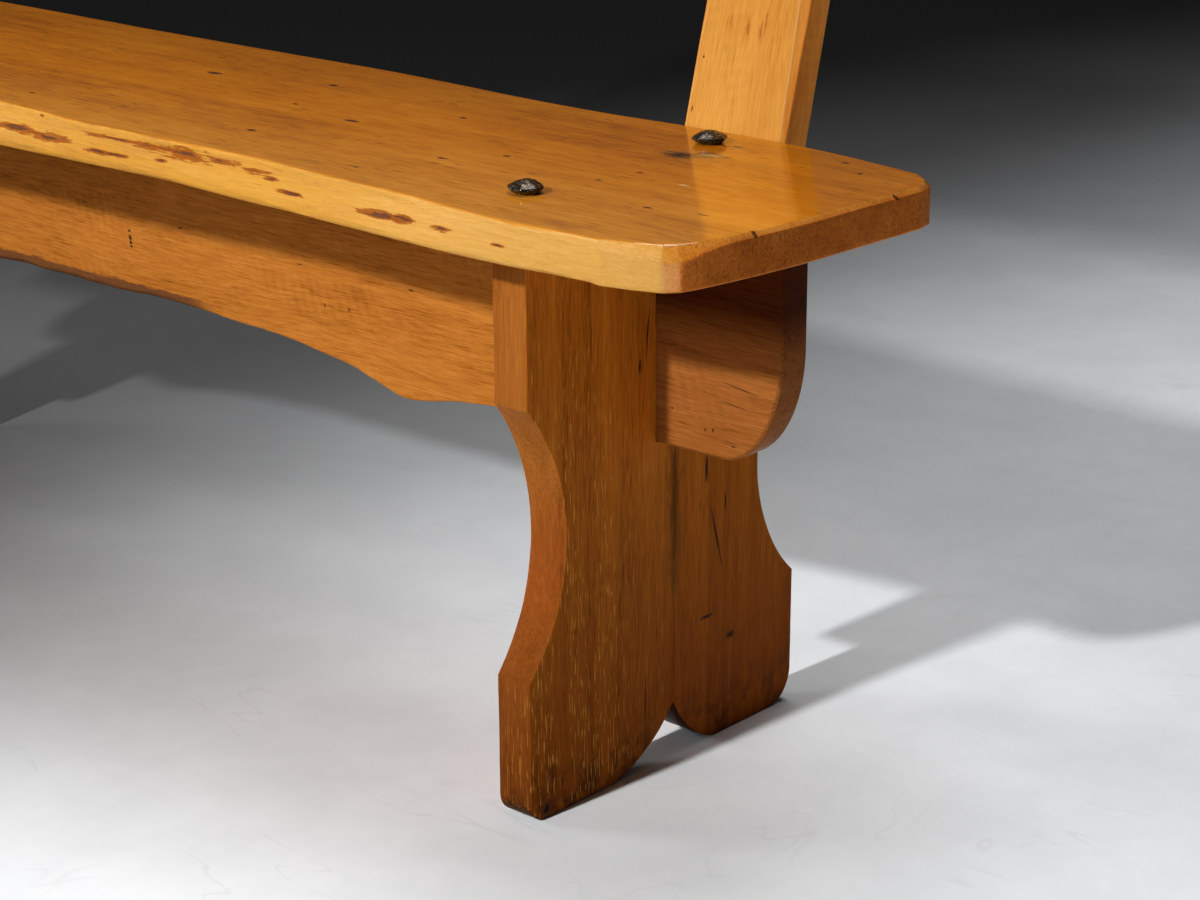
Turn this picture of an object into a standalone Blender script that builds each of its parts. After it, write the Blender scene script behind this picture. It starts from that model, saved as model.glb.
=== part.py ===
"""A trestle bench of thick live-edge planks, built as its separate boards, nails and dowels.

Two cut-out legs carry a waney seat plank. A deep stretcher on edge is cross-halved through
both legs, two raked posts are cross-halved over the legs' rear edges, and one broad board
closes the back. Wrought nails with hammered heads hold the planks, and dowels the legs.

Units are metres. +X is the length, the back is towards +Y and +Z is up. The origin is the
middle of the bench's box, on the floor.
"""

import math

import bmesh
import bpy
import numpy as np
from mathutils import Matrix, Vector

# Between two pieces that touch
GAP = 0.0003

# Seat plank. Its front line stands before the legs' front edges, and its ends beyond them.
SEAT_HEIGHT = 0.450
SEAT_THICK = 0.029
SEAT_LENGTH = 1.390
SEAT_DEPTH = 0.2965
SEAT_OVERHANG = 0.0465

# Legs, each two boards glued edge to edge. They stand in from the seat's ends and out behind
# its back line. Heights are from the floor.
LEG_THICK = 0.030
LEG_INSET = 0.175
LEG_BEYOND_SEAT = 0.0475
LEG_SEAM = 0.156
SCOOP_LOW = 0.107
SCOOP_HIGH = 0.305
FRONT_SCOOP_OUTSIDE = 0.039
FRONT_SCOOP_INSIDE = 0.035
REAR_SCOOP = 0.0445
FRONT_TOE = 0.016
REAR_TOE = 0.026
TOP_REAR_ROUND = 0.012
ARCH_FRONT = 0.089
ARCH_REAR = 0.204
ARCH_PEAK_Y = 0.1545
ARCH_PEAK_Z = 0.0435
ARCH_SAG = 0.0075

# Stretcher, a board on edge through both legs
STRETCHER_THICK = 0.0276
STRETCHER_Y = 0.1481
STRETCHER_LOW = 0.250
STRETCHER_OUT = 0.111
STRETCHER_NOSE_RUN = 0.052
STRETCHER_NOSE_RISE = 0.085
STRETCHER_NOSE_CHAMFER = 0.0035

# Back posts and back board. Lengths along a post are from where it passes the seat's top.
POST_WIDTH = 0.0925
POST_THICK = 0.029
POST_INSET = 0.0118
POST_RAKE = math.radians(14.0)
POST_UP = 0.380
POST_DOWN = 0.155
POST_TONGUE = 0.3095  # the foot's inner part runs on down the leg's inner face
POST_CHAMFER_LOW = 0.0015
POST_CHAMFER_HIGH = 0.0095
BACK_LOW = 0.178
BACK_OUT = 0.132
BACK_WIDTH = 0.212
BACK_THICK = 0.028

# Nails, one size of hammered head and shanks of three lengths
HEAD_RADIUS = 0.0123
HEAD_RISE = 0.0088
SHANK_SIDE = 0.006
SEAT_SHANK = 0.085
BACK_SHANK = 0.050
POST_SHANK = 0.068
SEAT_NAIL_FRONT = 0.018  # behind the legs' front edge; the rear one is before the seat's back
SEAT_NAIL_REAR = 0.036
SEAT_NAIL_REAR_INSET = 0.0025
BACK_NAIL_EDGE = 0.052
POST_NAIL_INSET = 0.024
POST_NAIL_DROP = 0.022

# Dowels across each leg's glue line
DOWEL_RADIUS = 0.005
DOWEL_LENGTH = 0.060
DOWEL_HEIGHTS = (0.100, 0.260)

# Softened edges
SAWN_ARRIS = 0.003
BOARD_ARRIS = 0.0014
LOWER_ARRIS = 0.0015

# Natural edges: (place along the half length, how far out of line, how far the face leans in)
SEAT_FRONT_EDGE = (
    (-1.00, -0.002, 0.008), (-0.80, 0.001, 0.012), (-0.58, 0.006, 0.008),
    (-0.36, 0.002, 0.013), (-0.14, -0.003, 0.016), (0.03, -0.002, 0.016),
    (0.16, -0.0045, 0.007), (0.29, -0.008, 0.006), (0.43, -0.002, 0.012),
    (0.51, 0.000, 0.010), (0.65, 0.0055, 0.0105), (0.735, 0.0075, 0.0055),
    (0.79, 0.007, 0.003), (0.85, 0.003, 0.002), (0.90, 0.0025, 0.002), (1.00, 0.002, 0.002),
)
SEAT_BACK_EDGE = (
    (-1.00, -0.012, 0.0), (-0.88, -0.003, 0.0), (-0.74, 0.001, 0.0), (-0.51, 0.009, 0.002),
    (-0.20, 0.006, 0.002), (0.05, 0.005, 0.0), (0.22, 0.007, 0.001), (0.31, 0.003, 0.0),
    (0.46, -0.003, 0.0), (0.55, -0.003, 0.0), (0.65, 0.001, 0.0), (0.78, 0.0015, 0.0),
    (0.86, -0.003, 0.0), (0.93, -0.011, 0.0), (1.00, -0.016, 0.0),
)
BACK_FOOT_EDGE = (
    (-1.00, -0.004, 0.002), (-0.62, 0.004, 0.004), (-0.22, -0.003, 0.002),
    (0.20, 0.002, 0.004), (0.60, -0.005, 0.003), (0.85, -0.001, 0.002), (1.00, -0.004, 0.002),
)
BACK_CREST_EDGE = (
    (-1.00, -0.005, 0.006), (-0.84, 0.001, 0.006), (-0.60, 0.008, 0.010),
    (-0.30, 0.014, 0.007), (0.00, 0.018, 0.011), (0.28, 0.013, 0.008), (0.55, 0.010, 0.011),
    (0.82, 0.001, 0.007), (1.00, -0.005, 0.006),
)

# Plank corners, edge first: (back from the end, in from the edge's line, chamfer)
SEAT_NEAR_CORNER = (
    (0.0705, -0.0015, 0.0045), (0.047, 0.0040, 0.0060), (0.028, 0.0105, 0.0070),
    (0.0195, 0.0200, 0.0070), (0.0155, 0.0365, 0.0045), (0.012, 0.0575, 0.0030),
    (0.008, 0.0865, 0.0030), (0.004, 0.1285, 0.0030),
)
SEAT_FAR_CORNER = (
    (0.046, 0.0125, 0.0030), (0.024, 0.0165, 0.0035), (0.010, 0.0265, 0.0040),
    (0.003, 0.036, 0.0040), (0.0, 0.050, 0.0030),
)
SEAT_LEFT_CORNER = (
    (0.060, 0.003, 0.0040), (0.032, 0.009, 0.0070), (0.014, 0.022, 0.0080),
    (0.004, 0.048, 0.0040), (0.0, 0.090, 0.0030),
)
BACK_CORNER = (
    (0.050, 0.004, 0.003), (0.026, 0.010, 0.004), (0.009, 0.022, 0.004), (0.0, 0.046, 0.003),
)

# Lower edge of the stretcher between the legs: (place along the half spread, rise)
STRETCHER_EDGE = (
    (-0.94, -0.003), (-0.83, -0.011), (-0.76, -0.017), (-0.71, -0.017), (-0.65, -0.008),
    (-0.57, 0.001), (-0.43, 0.008), (-0.18, 0.008), (0.07, 0.008), (0.22, 0.005),
    (0.314, 0.001), (0.408, -0.005), (0.47, -0.0135), (0.51, -0.019), (0.56, -0.0175),
    (0.64, -0.010), (0.70, -0.006), (0.94, 0.0),
)

SEAT_COLOUR = (0.50, 0.205, 0.043)
LEG_COLOUR = (0.38, 0.140, 0.026)
STRETCHER_COLOUR = (0.46, 0.180, 0.040)
POST_COLOUR = (0.54, 0.225, 0.052)
DOWEL_COLOUR = (0.55, 0.36, 0.18)
IRON_COLOUR = (0.030, 0.026, 0.022)
WOOD_ROUGHNESS = 0.32
IRON_ROUGHNESS = 0.38

# Places that follow from the sizes above, in a frame whose y = 0 is the legs' front edge
LEG_HEIGHT = SEAT_HEIGHT - SEAT_THICK
SEAT_FRONT = -SEAT_OVERHANG
SEAT_BACK = SEAT_FRONT + SEAT_DEPTH
LEG_DEPTH = SEAT_BACK + LEG_BEYOND_SEAT
LEG_SPREAD = SEAT_LENGTH - 2 * LEG_INSET
LEG_X = (LEG_SPREAD - LEG_THICK) / 2
BACK_LENGTH = LEG_SPREAD + 2 * BACK_OUT
POST_X = LEG_X - POST_INSET
STRETCHER_TOP = LEG_HEIGHT - GAP
STRETCHER_LAP = (STRETCHER_LOW + LEG_HEIGHT) / 2
POST_LAP = -(POST_DOWN + SEAT_THICK / math.cos(POST_RAKE)) / 2
RIGHT, LEFT = 1, -1


def clear_scene():
    for obj in list(bpy.data.objects):
        bpy.data.objects.remove(obj, do_unlink=True)


def finish(name, colour, roughness, metallic=0.0):
    material = bpy.data.materials.new(name)
    material.use_nodes = True
    shader = material.node_tree.nodes["Principled BSDF"]
    shader.inputs["Base Color"].default_value = (*colour, 1.0)
    shader.inputs["Roughness"].default_value = roughness
    shader.inputs["Metallic"].default_value = metallic
    return material


def wood(name, colour):
    return finish(name, colour, WOOD_ROUGHNESS)


def add_object(name, mesh, parent=None):
    obj = bpy.data.objects.new(name, mesh)
    bpy.context.scene.collection.objects.link(obj)
    obj.parent = parent
    return obj


def natural(points, at):
    """A free-hand line: a smooth curve through (place, value) points, read at `at`."""
    places = np.array([point[0] for point in points])
    values = np.array([point[1] for point in points])
    slopes = np.gradient(values, places)
    i = np.clip(np.searchsorted(places, at) - 1, 0, len(places) - 2)
    span = places[i + 1] - places[i]
    t = (at - places[i]) / span
    low = values[i] * (1 + 2 * t) * (1 - t) ** 2 + slopes[i] * span * t * (1 - t) ** 2
    high = values[i + 1] * (3 - 2 * t) * t**2 - slopes[i + 1] * span * (1 - t) * t**2
    return low + high


def arc(start, through, end, steps):
    """Points of the circle through three points, from start up to but not including end."""
    (ax, ay), (bx, by), (cx, cy) = start, through, end
    d = 2 * (ax * (by - cy) + bx * (cy - ay) + cx * (ay - by))
    a2, b2, c2 = ax * ax + ay * ay, bx * bx + by * by, cx * cx + cy * cy
    x = (a2 * (by - cy) + b2 * (cy - ay) + c2 * (ay - by)) / d
    y = (a2 * (cx - bx) + b2 * (ax - cx) + c2 * (bx - ax)) / d
    radius = math.hypot(ax - x, ay - y)
    first = math.atan2(ay - y, ax - x)
    middle = (math.atan2(by - y, bx - x) - first) % math.tau
    turn = (math.atan2(cy - y, cx - x) - first) % math.tau
    if middle > turn:
        turn -= math.tau
    angles = [first + turn * k / steps for k in range(steps)]
    return [(x + radius * math.cos(a), y + radius * math.sin(a)) for a in angles]


def corner_arc(before, corner, after, steps):
    """An arc that rounds a square corner between the two points where it leaves the sides."""
    middle = [(before[k] + after[k]) / 2 for k in (0, 1)]
    reach = 2 - math.sqrt(2)
    through = tuple(corner[k] + (middle[k] - corner[k]) * reach for k in (0, 1))
    return arc(before, through, after, steps) + [after]


def sagged(start, end, sag, steps):
    """An arc from start to end that hangs `sag` to the right of the straight line."""
    dx, dy = end[0] - start[0], end[1] - start[1]
    length = math.hypot(dx, dy)
    through = (
        (start[0] + end[0]) / 2 + dy / length * sag,
        (start[1] + end[1]) / 2 - dx / length * sag,
    )
    return arc(start, through, end, steps)


def loft(name, rings):
    """A closed mesh through rings of as many points each, with flat faces on its two ends."""
    bm = bmesh.new()
    loops = [[bm.verts.new(point) for point in ring] for ring in rings]
    count = len(loops[0])
    for lower, upper in zip(loops, loops[1:]):
        for k in range(count):
            n = (k + 1) % count
            bm.faces.new((lower[k], lower[n], upper[n], upper[k]))
    bm.faces.new(reversed(loops[0]))
    bm.faces.new(loops[-1])
    bmesh.ops.recalc_face_normals(bm, faces=bm.faces)
    mesh = bpy.data.meshes.new(name)
    bm.to_mesh(mesh)
    bm.free()
    return mesh


def box(name, low, high):
    corners = [(low[0], low[1]), (high[0], low[1]), (high[0], high[1]), (low[0], high[1])]
    return loft(name, [[(x, y, z) for x, y in corners] for z in (low[2], high[2])])


def cut(obj, cutter, operation="DIFFERENCE"):
    modifier = obj.modifiers.new(cutter.name, "BOOLEAN")
    modifier.operation = operation
    modifier.object = cutter
    modifier.solver = "EXACT"


def as_cutter(obj):
    obj.hide_render = True
    obj.display_type = "WIRE"
    return obj


def soften(obj, width=BOARD_ARRIS):
    modifier = obj.modifiers.new("arris", "BEVEL")
    modifier.width = width
    modifier.segments = 2
    modifier.limit_method = "ANGLE"
    modifier.angle_limit = math.radians(35)


def plank_edge(edge, half, left_reach, right_reach, count):
    """(x, out of line, lean) at even steps along a natural edge, between its two corners."""
    x = np.linspace(left_reach - half, half - right_reach, count)
    out = natural([(place, value) for place, value, lean in edge], x / half)
    lean = natural([(place, lean) for place, value, lean in edge], x / half)
    return list(zip(x, out, np.maximum(lean, 0.0)))


def plank_outline(length, depth, edges, corners, count):
    """Points (x, y, lean, chamfer) anticlockwise round a plank whose front line is y = 0.

    edges are the front and the back one, and corners run front left, front right,
    back right and back left.
    """
    half = length / 2
    reach = [corner[0][0] for corner in corners]
    front = plank_edge(edges[0], half, reach[0], reach[1], count)
    back = plank_edge(edges[1], half, reach[3], reach[2], count)
    outline = [(x, -out, lean, SAWN_ARRIS) for x, out, lean in front[1:-1]]
    outline += [(half - run, inward, 0.0, c) for run, inward, c in corners[1]]
    outline += [(half - run, depth - inward, 0.0, c) for run, inward, c in corners[2][::-1]]
    outline += [(x, depth + out, lean, SAWN_ARRIS) for x, out, lean in back[-2:0:-1]]
    outline += [(run - half, depth - inward, 0.0, c) for run, inward, c in corners[3]]
    outline += [(run - half, inward, 0.0, c) for run, inward, c in corners[0][::-1]]
    return outline


def inward_normals(outline):
    points = np.array([point[:2] for point in outline])
    along = np.roll(points, -1, axis=0) - np.roll(points, 1, axis=0)
    along /= np.linalg.norm(along, axis=1)[:, None]
    return np.stack([-along[:, 1], along[:, 0]], axis=1)


def plank(name, outline, thick):
    """A plank lying flat: a lower arris, a face that may lean in, and an upper chamfer."""
    normals = inward_normals(outline)

    def ring(inset_of, height_of):
        return [
            (x + n[0] * inset_of(lean, c), y + n[1] * inset_of(lean, c), height_of(c))
            for (x, y, lean, c), n in zip(outline, normals)
        ]

    return loft(
        name,
        [
            ring(lambda lean, c: LOWER_ARRIS, lambda c: 0.0),
            ring(lambda lean, c: 0.0, lambda c: LOWER_ARRIS),
            ring(lambda lean, c: lean, lambda c: thick - c),
            ring(lambda lean, c: lean + c, lambda c: thick),
        ],
    )


def seat_outline():
    return plank_outline(
        SEAT_LENGTH,
        SEAT_DEPTH,
        (SEAT_FRONT_EDGE, SEAT_BACK_EDGE),
        (SEAT_LEFT_CORNER, SEAT_NEAR_CORNER, SEAT_FAR_CORNER, SEAT_FAR_CORNER),
        count=44,
    )


def back_outline():
    return plank_outline(
        BACK_LENGTH,
        BACK_WIDTH,
        (BACK_FOOT_EDGE, BACK_CREST_EDGE),
        (BACK_CORNER, BACK_CORNER, BACK_CORNER, BACK_CORNER),
        count=28,
    )


def leg_outline(front_scoop):
    """The whole leg panel's outline as (y, z), from the front foot round to the top."""
    middle = (SCOOP_LOW + SCOOP_HIGH) / 2
    peak = (ARCH_PEAK_Y, ARCH_PEAK_Z)
    back = LEG_DEPTH
    shoulder = LEG_HEIGHT - TOP_REAR_ROUND
    outline = corner_arc((0.0, FRONT_TOE), (0.0, 0.0), (FRONT_TOE, 0.0), 5)
    outline += sagged((ARCH_FRONT, 0.0), peak, ARCH_SAG, 8)
    outline += sagged(peak, (ARCH_REAR, 0.0), ARCH_SAG, 8)
    outline.append((ARCH_REAR, 0.0))
    outline += corner_arc((back - REAR_TOE, 0.0), (back, 0.0), (back, REAR_TOE), 6)
    outline += arc((back, SCOOP_LOW), (back - REAR_SCOOP, middle), (back, SCOOP_HIGH), 18)
    outline.append((back, SCOOP_HIGH))
    outline += corner_arc(
        (back, shoulder), (back, LEG_HEIGHT), (back - TOP_REAR_ROUND, LEG_HEIGHT), 4
    )
    outline.append((0.0, LEG_HEIGHT))
    outline += arc((0.0, SCOOP_HIGH), (front_scoop, middle), (0.0, SCOOP_LOW), 18)
    outline.append((0.0, SCOOP_LOW))
    return outline


def leg_panel(side):
    """A leg before its glue line and joints. Its front scoop is sawn a little out of square."""
    inside = [(-side * LEG_THICK / 2, y, z) for y, z in leg_outline(FRONT_SCOOP_INSIDE)]
    outside = [(side * LEG_THICK / 2, y, z) for y, z in leg_outline(FRONT_SCOOP_OUTSIDE)]
    return loft("leg_panel", [inside, outside])


def stretcher_outline():
    """(x, z, lean, chamfer) of the stretcher, anticlockwise from the front's lower left.

    It has a waney foot between the legs, a round nose outside each and a straight top.
    """
    half = LEG_SPREAD / 2
    end = half + STRETCHER_OUT
    low = STRETCHER_LOW
    lift = low + STRETCHER_NOSE_RISE
    nose = [(half, low, BOARD_ARRIS)]
    for k in range(1, 11):
        turn = math.pi / 2 * k / 10
        x = end - STRETCHER_NOSE_RUN * (1 - math.sin(turn))
        z = lift - STRETCHER_NOSE_RISE * math.cos(turn)
        nose.append((x, z, STRETCHER_NOSE_CHAMFER))
    nose.append((end, STRETCHER_TOP, BOARD_ARRIS))
    places = np.linspace(STRETCHER_EDGE[0][0], STRETCHER_EDGE[-1][0], 48)
    rises = natural(STRETCHER_EDGE, places)
    foot = [(x, low + rise, BOARD_ARRIS) for x, rise in zip(places * half, rises)]
    outline = foot + nose + [(-x, z, c) for x, z, c in reversed(nose)]
    return [(x, z, 0.0, c) for x, z, c in outline]


def make_seat(bench, material):
    seat = add_object("seat_plank", plank("seat_plank", seat_outline(), SEAT_THICK), bench)
    seat.location = (0.0, SEAT_FRONT, LEG_HEIGHT)
    seat.data.materials.append(material)
    return seat


def make_leg_board(bench, panel, name, side, low_y, high_y, material):
    """One board of a leg: the part of the whole panel between two upright lines."""
    board = add_object(name, panel.copy(), bench)
    board.location = (side * LEG_X, 0.0, 0.0)
    board.data.materials.append(material)
    soften(board)
    reach = LEG_THICK
    low = (-reach, low_y, -reach)
    high = (reach, high_y, LEG_HEIGHT + reach)
    keep = as_cutter(add_object(name + "_keep", box(name + "_keep", low, high), bench))
    keep.location = board.location
    cut(board, keep, "INTERSECT")
    return board


def make_legs(bench, side_name, side, material):
    panel = leg_panel(side)
    beyond = LEG_THICK
    seam_low, seam_high = LEG_SEAM - GAP / 2, LEG_SEAM + GAP / 2
    front = make_leg_board(
        bench, panel, side_name + "_leg_front_board", side, -beyond, seam_low, material
    )
    rear = make_leg_board(
        bench, panel, side_name + "_leg_rear_board", side, seam_high, LEG_DEPTH + beyond, material
    )
    return front, rear


def cross_halve_stretcher(bench, stretcher, legs):
    """Slots from the tops of the legs, and notches from the foot of the stretcher."""
    for side, boards in legs.items():
        half = STRETCHER_THICK / 2 + GAP
        low = (-LEG_THICK, STRETCHER_Y - half, STRETCHER_LAP)
        high = (LEG_THICK, STRETCHER_Y + half, LEG_HEIGHT + LEG_THICK)
        slot = as_cutter(add_object("leg_slot", box("leg_slot", low, high), bench))
        slot.location = (side * LEG_X, 0.0, 0.0)
        for board in boards:
            cut(board, slot)
        wide = LEG_THICK / 2 + GAP
        low = (-wide, -STRETCHER_THICK, STRETCHER_LOW - STRETCHER_THICK)
        high = (wide, STRETCHER_THICK, STRETCHER_LAP + GAP)
        notch = as_cutter(add_object("stretcher_notch", box("stretcher_notch", low, high), bench))
        notch.location = (side * LEG_X, STRETCHER_Y, 0.0)
        cut(stretcher, notch)


def make_stretcher(bench, material):
    mesh = plank("stretcher", stretcher_outline(), STRETCHER_THICK)
    stretcher = add_object("stretcher", mesh, bench)
    stretcher.location = (0.0, STRETCHER_Y + STRETCHER_THICK / 2, 0.0)
    stretcher.rotation_euler.x = math.pi / 2
    stretcher.data.materials.append(material)
    return stretcher


def post_section(height, chamfer):
    """A post's outline at one height, with both front arrises chamfered."""
    w, t = POST_WIDTH / 2, POST_THICK
    corners = [(-w, chamfer), (chamfer - w, 0.0), (w - chamfer, 0.0), (w, chamfer), (w, t), (-w, t)]
    return [(x, y, height) for x, y in corners]


def make_post(bench, name, side, material):
    """A raked post. Its frame stands where its front face passes the seat's top."""
    rings = [post_section(z, POST_CHAMFER_LOW) for z in (-POST_TONGUE, 0.0)]
    rings.append(post_section(POST_UP, POST_CHAMFER_HIGH))
    post = add_object(name, loft(name, rings), bench)
    post.location = (side * POST_X, SEAT_BACK, SEAT_HEIGHT)
    post.rotation_euler.x = -POST_RAKE
    post.data.materials.append(material)
    return post


def cross_halve_post(bench, post, side, rear_board, seat):
    """Forks the post's foot over the leg, slots the leg, and lets the post into the seat.

    Of the fork's two parts the one outside the leg stops behind the stretcher's end, and the
    one inside, the tongue, runs further down.
    """
    shift = side * POST_INSET
    wide = LEG_THICK / 2 + GAP
    thick = POST_THICK
    low = (shift - wide, -thick, -POST_TONGUE - thick)
    high = (shift + wide, 2 * thick, POST_LAP + GAP)
    fork = as_cutter(add_object("post_fork", box("post_fork", low, high), post))
    cut(post, fork)
    edges = sorted((shift, side * POST_WIDTH))
    low = (edges[0], -thick, -POST_TONGUE - thick)
    high = (edges[1], 2 * thick, -POST_DOWN)
    outside = as_cutter(add_object("post_outside", box("post_outside", low, high), post))
    cut(post, outside)
    low = (shift - 2 * wide, -GAP, POST_LAP)
    high = (shift + 2 * wide, thick + GAP, SEAT_THICK)
    slot = as_cutter(add_object("post_slot", box("post_slot", low, high), post))
    cut(rear_board, slot)
    half = POST_WIDTH / 2 + GAP
    low = (-half, -GAP, -POST_DOWN)
    high = (half, 2 * thick, SEAT_THICK)
    housing = as_cutter(add_object("post_housing", box("post_housing", low, high), post))
    cut(seat, housing)


def make_back_board(bench, material):
    board = add_object("back_board", plank("back_board", back_outline(), BACK_THICK), bench)
    tilt = math.pi / 2 - POST_RAKE
    face = Vector((0.0, -GAP, BACK_LOW))
    face.rotate(Matrix.Rotation(-POST_RAKE, 3, "X"))
    board.location = Vector((0.0, SEAT_BACK, SEAT_HEIGHT)) + face
    board.rotation_euler.x = tilt
    board.data.materials.append(material)
    return board


def square_ring(half, height):
    """Eight points round a square: its corners and the middles of its sides."""
    ring = [(1, 0), (1, 1), (0, 1), (-1, 1), (-1, 0), (-1, -1), (0, -1), (1, -1)]
    return [(x * half, y * half, height) for x, y in ring]


def shank_rings(length, clearance, above):
    """A tapered square shank below z = 0, from its point up."""
    side = SHANK_SIDE / 2
    point = 0.12 * side
    return [
        square_ring(point + clearance, -length - clearance),
        square_ring(0.75 * side + clearance, -0.8 * length),
        square_ring(side + clearance, above),
    ]


def nail_mesh(length):
    """A wrought nail: a tapered shank and a head hammered into eight uneven facets."""
    uneven = (1.0, 0.93, 1.03, 0.95, 0.98, 1.04, 0.94, 1.01)
    angles = [math.tau * k / 8 for k in range(8)]
    rings = shank_rings(length, 0.0, 0.0)
    for spread, rise in ((0.92, 0.0), (1.0, 0.24), (0.66, 0.68), (0.13, 1.0)):
        radii = [HEAD_RADIUS * spread * u for u in uneven]
        height = HEAD_RISE * rise
        ring = [(r * math.cos(a), r * math.sin(a), height) for r, a in zip(radii, angles)]
        rings.append(ring)
    return loft("nail", rings)


def drive_nail(name, mesh, length, place, parent, turn, pieces, material, axis_turn=0.0):
    """Sets a nail with its head just off the surface, and bores each piece that it crosses."""
    nail = add_object(name, mesh, parent)
    nail.location = place
    nail.rotation_euler = (axis_turn, 0.0, 0.0)
    nail.rotation_mode = "XYZ"
    if not mesh.materials:
        mesh.materials.append(material)
    nail.rotation_euler.rotate_axis("Z", turn)
    bore = as_cutter(add_object(name + "_bore", loft("bore", shank_rings(length, GAP, 0.002)), nail))
    for piece in pieces:
        cut(piece, bore)
    return nail


def nail_seat(bench, seat, side_name, side, boards, mesh, material):
    height = SEAT_HEIGHT + GAP
    rear_x = LEG_X - SEAT_NAIL_REAR_INSET
    rear_y = SEAT_BACK - SEAT_NAIL_REAR
    spots = (("front", LEG_X, SEAT_NAIL_FRONT), ("rear", rear_x, rear_y))
    for k, (where, x, y) in enumerate(spots):
        name = f"{side_name}_seat_nail_{where}"
        turn = 0.4 + 0.9 * k + 0.5 * side
        place = (side * x, y, height)
        drive_nail(name, mesh, SEAT_SHANK, place, bench, turn, (seat, boards[k]), material)


def nail_back(post, side_name, board, mesh, material):
    """Two nails through the back board into a post, one near each long edge."""
    front = -(BACK_THICK + 2 * GAP)
    low = BACK_LOW + BACK_NAIL_EDGE
    high = BACK_LOW + BACK_WIDTH - BACK_NAIL_EDGE
    for k, (where, height) in enumerate((("lower", low), ("upper", high))):
        name = f"{side_name}_back_nail_{where}"
        turn = 1.1 + 0.7 * k
        drive_nail(
            name, mesh, BACK_SHANK, (0.0, front, height), post, turn, (board, post), material,
            axis_turn=math.pi / 2,
        )


def nail_post(post, side_name, side, seat, mesh, material):
    """One nail from behind, through the post and into the seat's back edge."""
    place = (-side * POST_NAIL_INSET, POST_THICK + GAP, -POST_NAIL_DROP)
    drive_nail(
        side_name + "_post_nail", mesh, POST_SHANK, place, post, 0.3, (post, seat), material,
        axis_turn=-math.pi / 2,
    )


def make_dowels(bench, side_name, side, boards, material):
    for k, height in enumerate(DOWEL_HEIGHTS):
        name = f"{side_name}_leg_dowel_{('lower', 'upper')[k]}"
        dowel = add_object(name, rod(name, DOWEL_RADIUS, DOWEL_LENGTH), bench)
        dowel.location = (side * LEG_X, LEG_SEAM, height)
        dowel.data.materials.append(material)
        bore_mesh = rod("dowel_bore", DOWEL_RADIUS + GAP, DOWEL_LENGTH + 2 * GAP)
        bore = as_cutter(add_object(name + "_bore", bore_mesh, bench))
        bore.location = dowel.location
        for board in boards:
            cut(board, bore)


def rod(name, radius, length):
    """A round rod along y, about its middle."""
    angles = [math.tau * k / 16 for k in range(16)]
    circle = [(radius * math.cos(a), radius * math.sin(a)) for a in angles]
    mesh = loft(name, [[(x, y, z) for x, z in circle] for y in (length / 2, -length / 2)])
    mesh.shade_smooth()
    mesh.set_sharp_from_angle(angle=math.radians(40))
    return mesh


def middle_of_depth(outline):
    """The middle between the seat's foremost point and the posts' rearmost one."""
    foremost = SEAT_FRONT + min(point[1] for point in outline)
    lean, thick = math.sin(POST_RAKE), math.cos(POST_RAKE)
    rearmost = SEAT_BACK + POST_UP * lean + POST_THICK * thick
    return (foremost + rearmost) / 2


def build():
    clear_scene()
    seat_wood = wood("seat_wood", SEAT_COLOUR)
    leg_wood = wood("leg_wood", LEG_COLOUR)
    stretcher_wood = wood("stretcher_wood", STRETCHER_COLOUR)
    post_wood = wood("post_wood", POST_COLOUR)
    dowel_wood = wood("dowel_wood", DOWEL_COLOUR)
    iron = finish("wrought_iron", IRON_COLOUR, IRON_ROUGHNESS, metallic=1.0)

    bench = add_object("bench", None)
    bench.location.y = -middle_of_depth(seat_outline())

    seat = make_seat(bench, seat_wood)
    stretcher = make_stretcher(bench, stretcher_wood)
    back_board = make_back_board(bench, seat_wood)
    legs = {}
    nails = {length: nail_mesh(length) for length in (SEAT_SHANK, BACK_SHANK, POST_SHANK)}
    for side_name, side in (("right", RIGHT), ("left", LEFT)):
        boards = make_legs(bench, side_name, side, leg_wood)
        legs[side] = boards
        post = make_post(bench, side_name + "_post", side, post_wood)
        cross_halve_post(bench, post, side, boards[1], seat)
        make_dowels(bench, side_name, side, boards, dowel_wood)
        nail_seat(bench, seat, side_name, side, boards, nails[SEAT_SHANK], iron)
        nail_back(post, side_name, back_board, nails[BACK_SHANK], iron)
        nail_post(post, side_name, side, seat, nails[POST_SHANK], iron)
    cross_halve_stretcher(bench, stretcher, legs)


build()
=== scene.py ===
import functools
import math

import bmesh
import bpy
import numpy as np
from mathutils import Matrix, Vector


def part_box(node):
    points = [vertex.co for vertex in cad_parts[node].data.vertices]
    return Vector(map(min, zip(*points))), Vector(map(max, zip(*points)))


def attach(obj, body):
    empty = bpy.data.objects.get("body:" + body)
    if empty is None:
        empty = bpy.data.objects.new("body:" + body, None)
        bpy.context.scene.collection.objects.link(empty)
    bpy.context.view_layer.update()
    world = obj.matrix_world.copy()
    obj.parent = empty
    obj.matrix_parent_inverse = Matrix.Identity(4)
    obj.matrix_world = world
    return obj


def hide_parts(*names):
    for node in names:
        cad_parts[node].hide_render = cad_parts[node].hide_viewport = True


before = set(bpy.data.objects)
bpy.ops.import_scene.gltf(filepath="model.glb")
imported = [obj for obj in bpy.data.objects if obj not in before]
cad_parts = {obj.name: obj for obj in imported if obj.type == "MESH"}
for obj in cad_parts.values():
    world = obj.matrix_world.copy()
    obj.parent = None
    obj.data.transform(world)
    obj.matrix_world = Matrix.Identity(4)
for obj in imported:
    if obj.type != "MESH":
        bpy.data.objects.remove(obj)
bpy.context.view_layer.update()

# Legs
# Each leg is a trestle panel of two pine boards glued edge to edge, with a scooped waist and
# an arch sawn out between its feet. It is slotted for the stretcher and for the back post,
# and varnished brown over an upright grain with pale dashes and a few checks.

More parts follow.
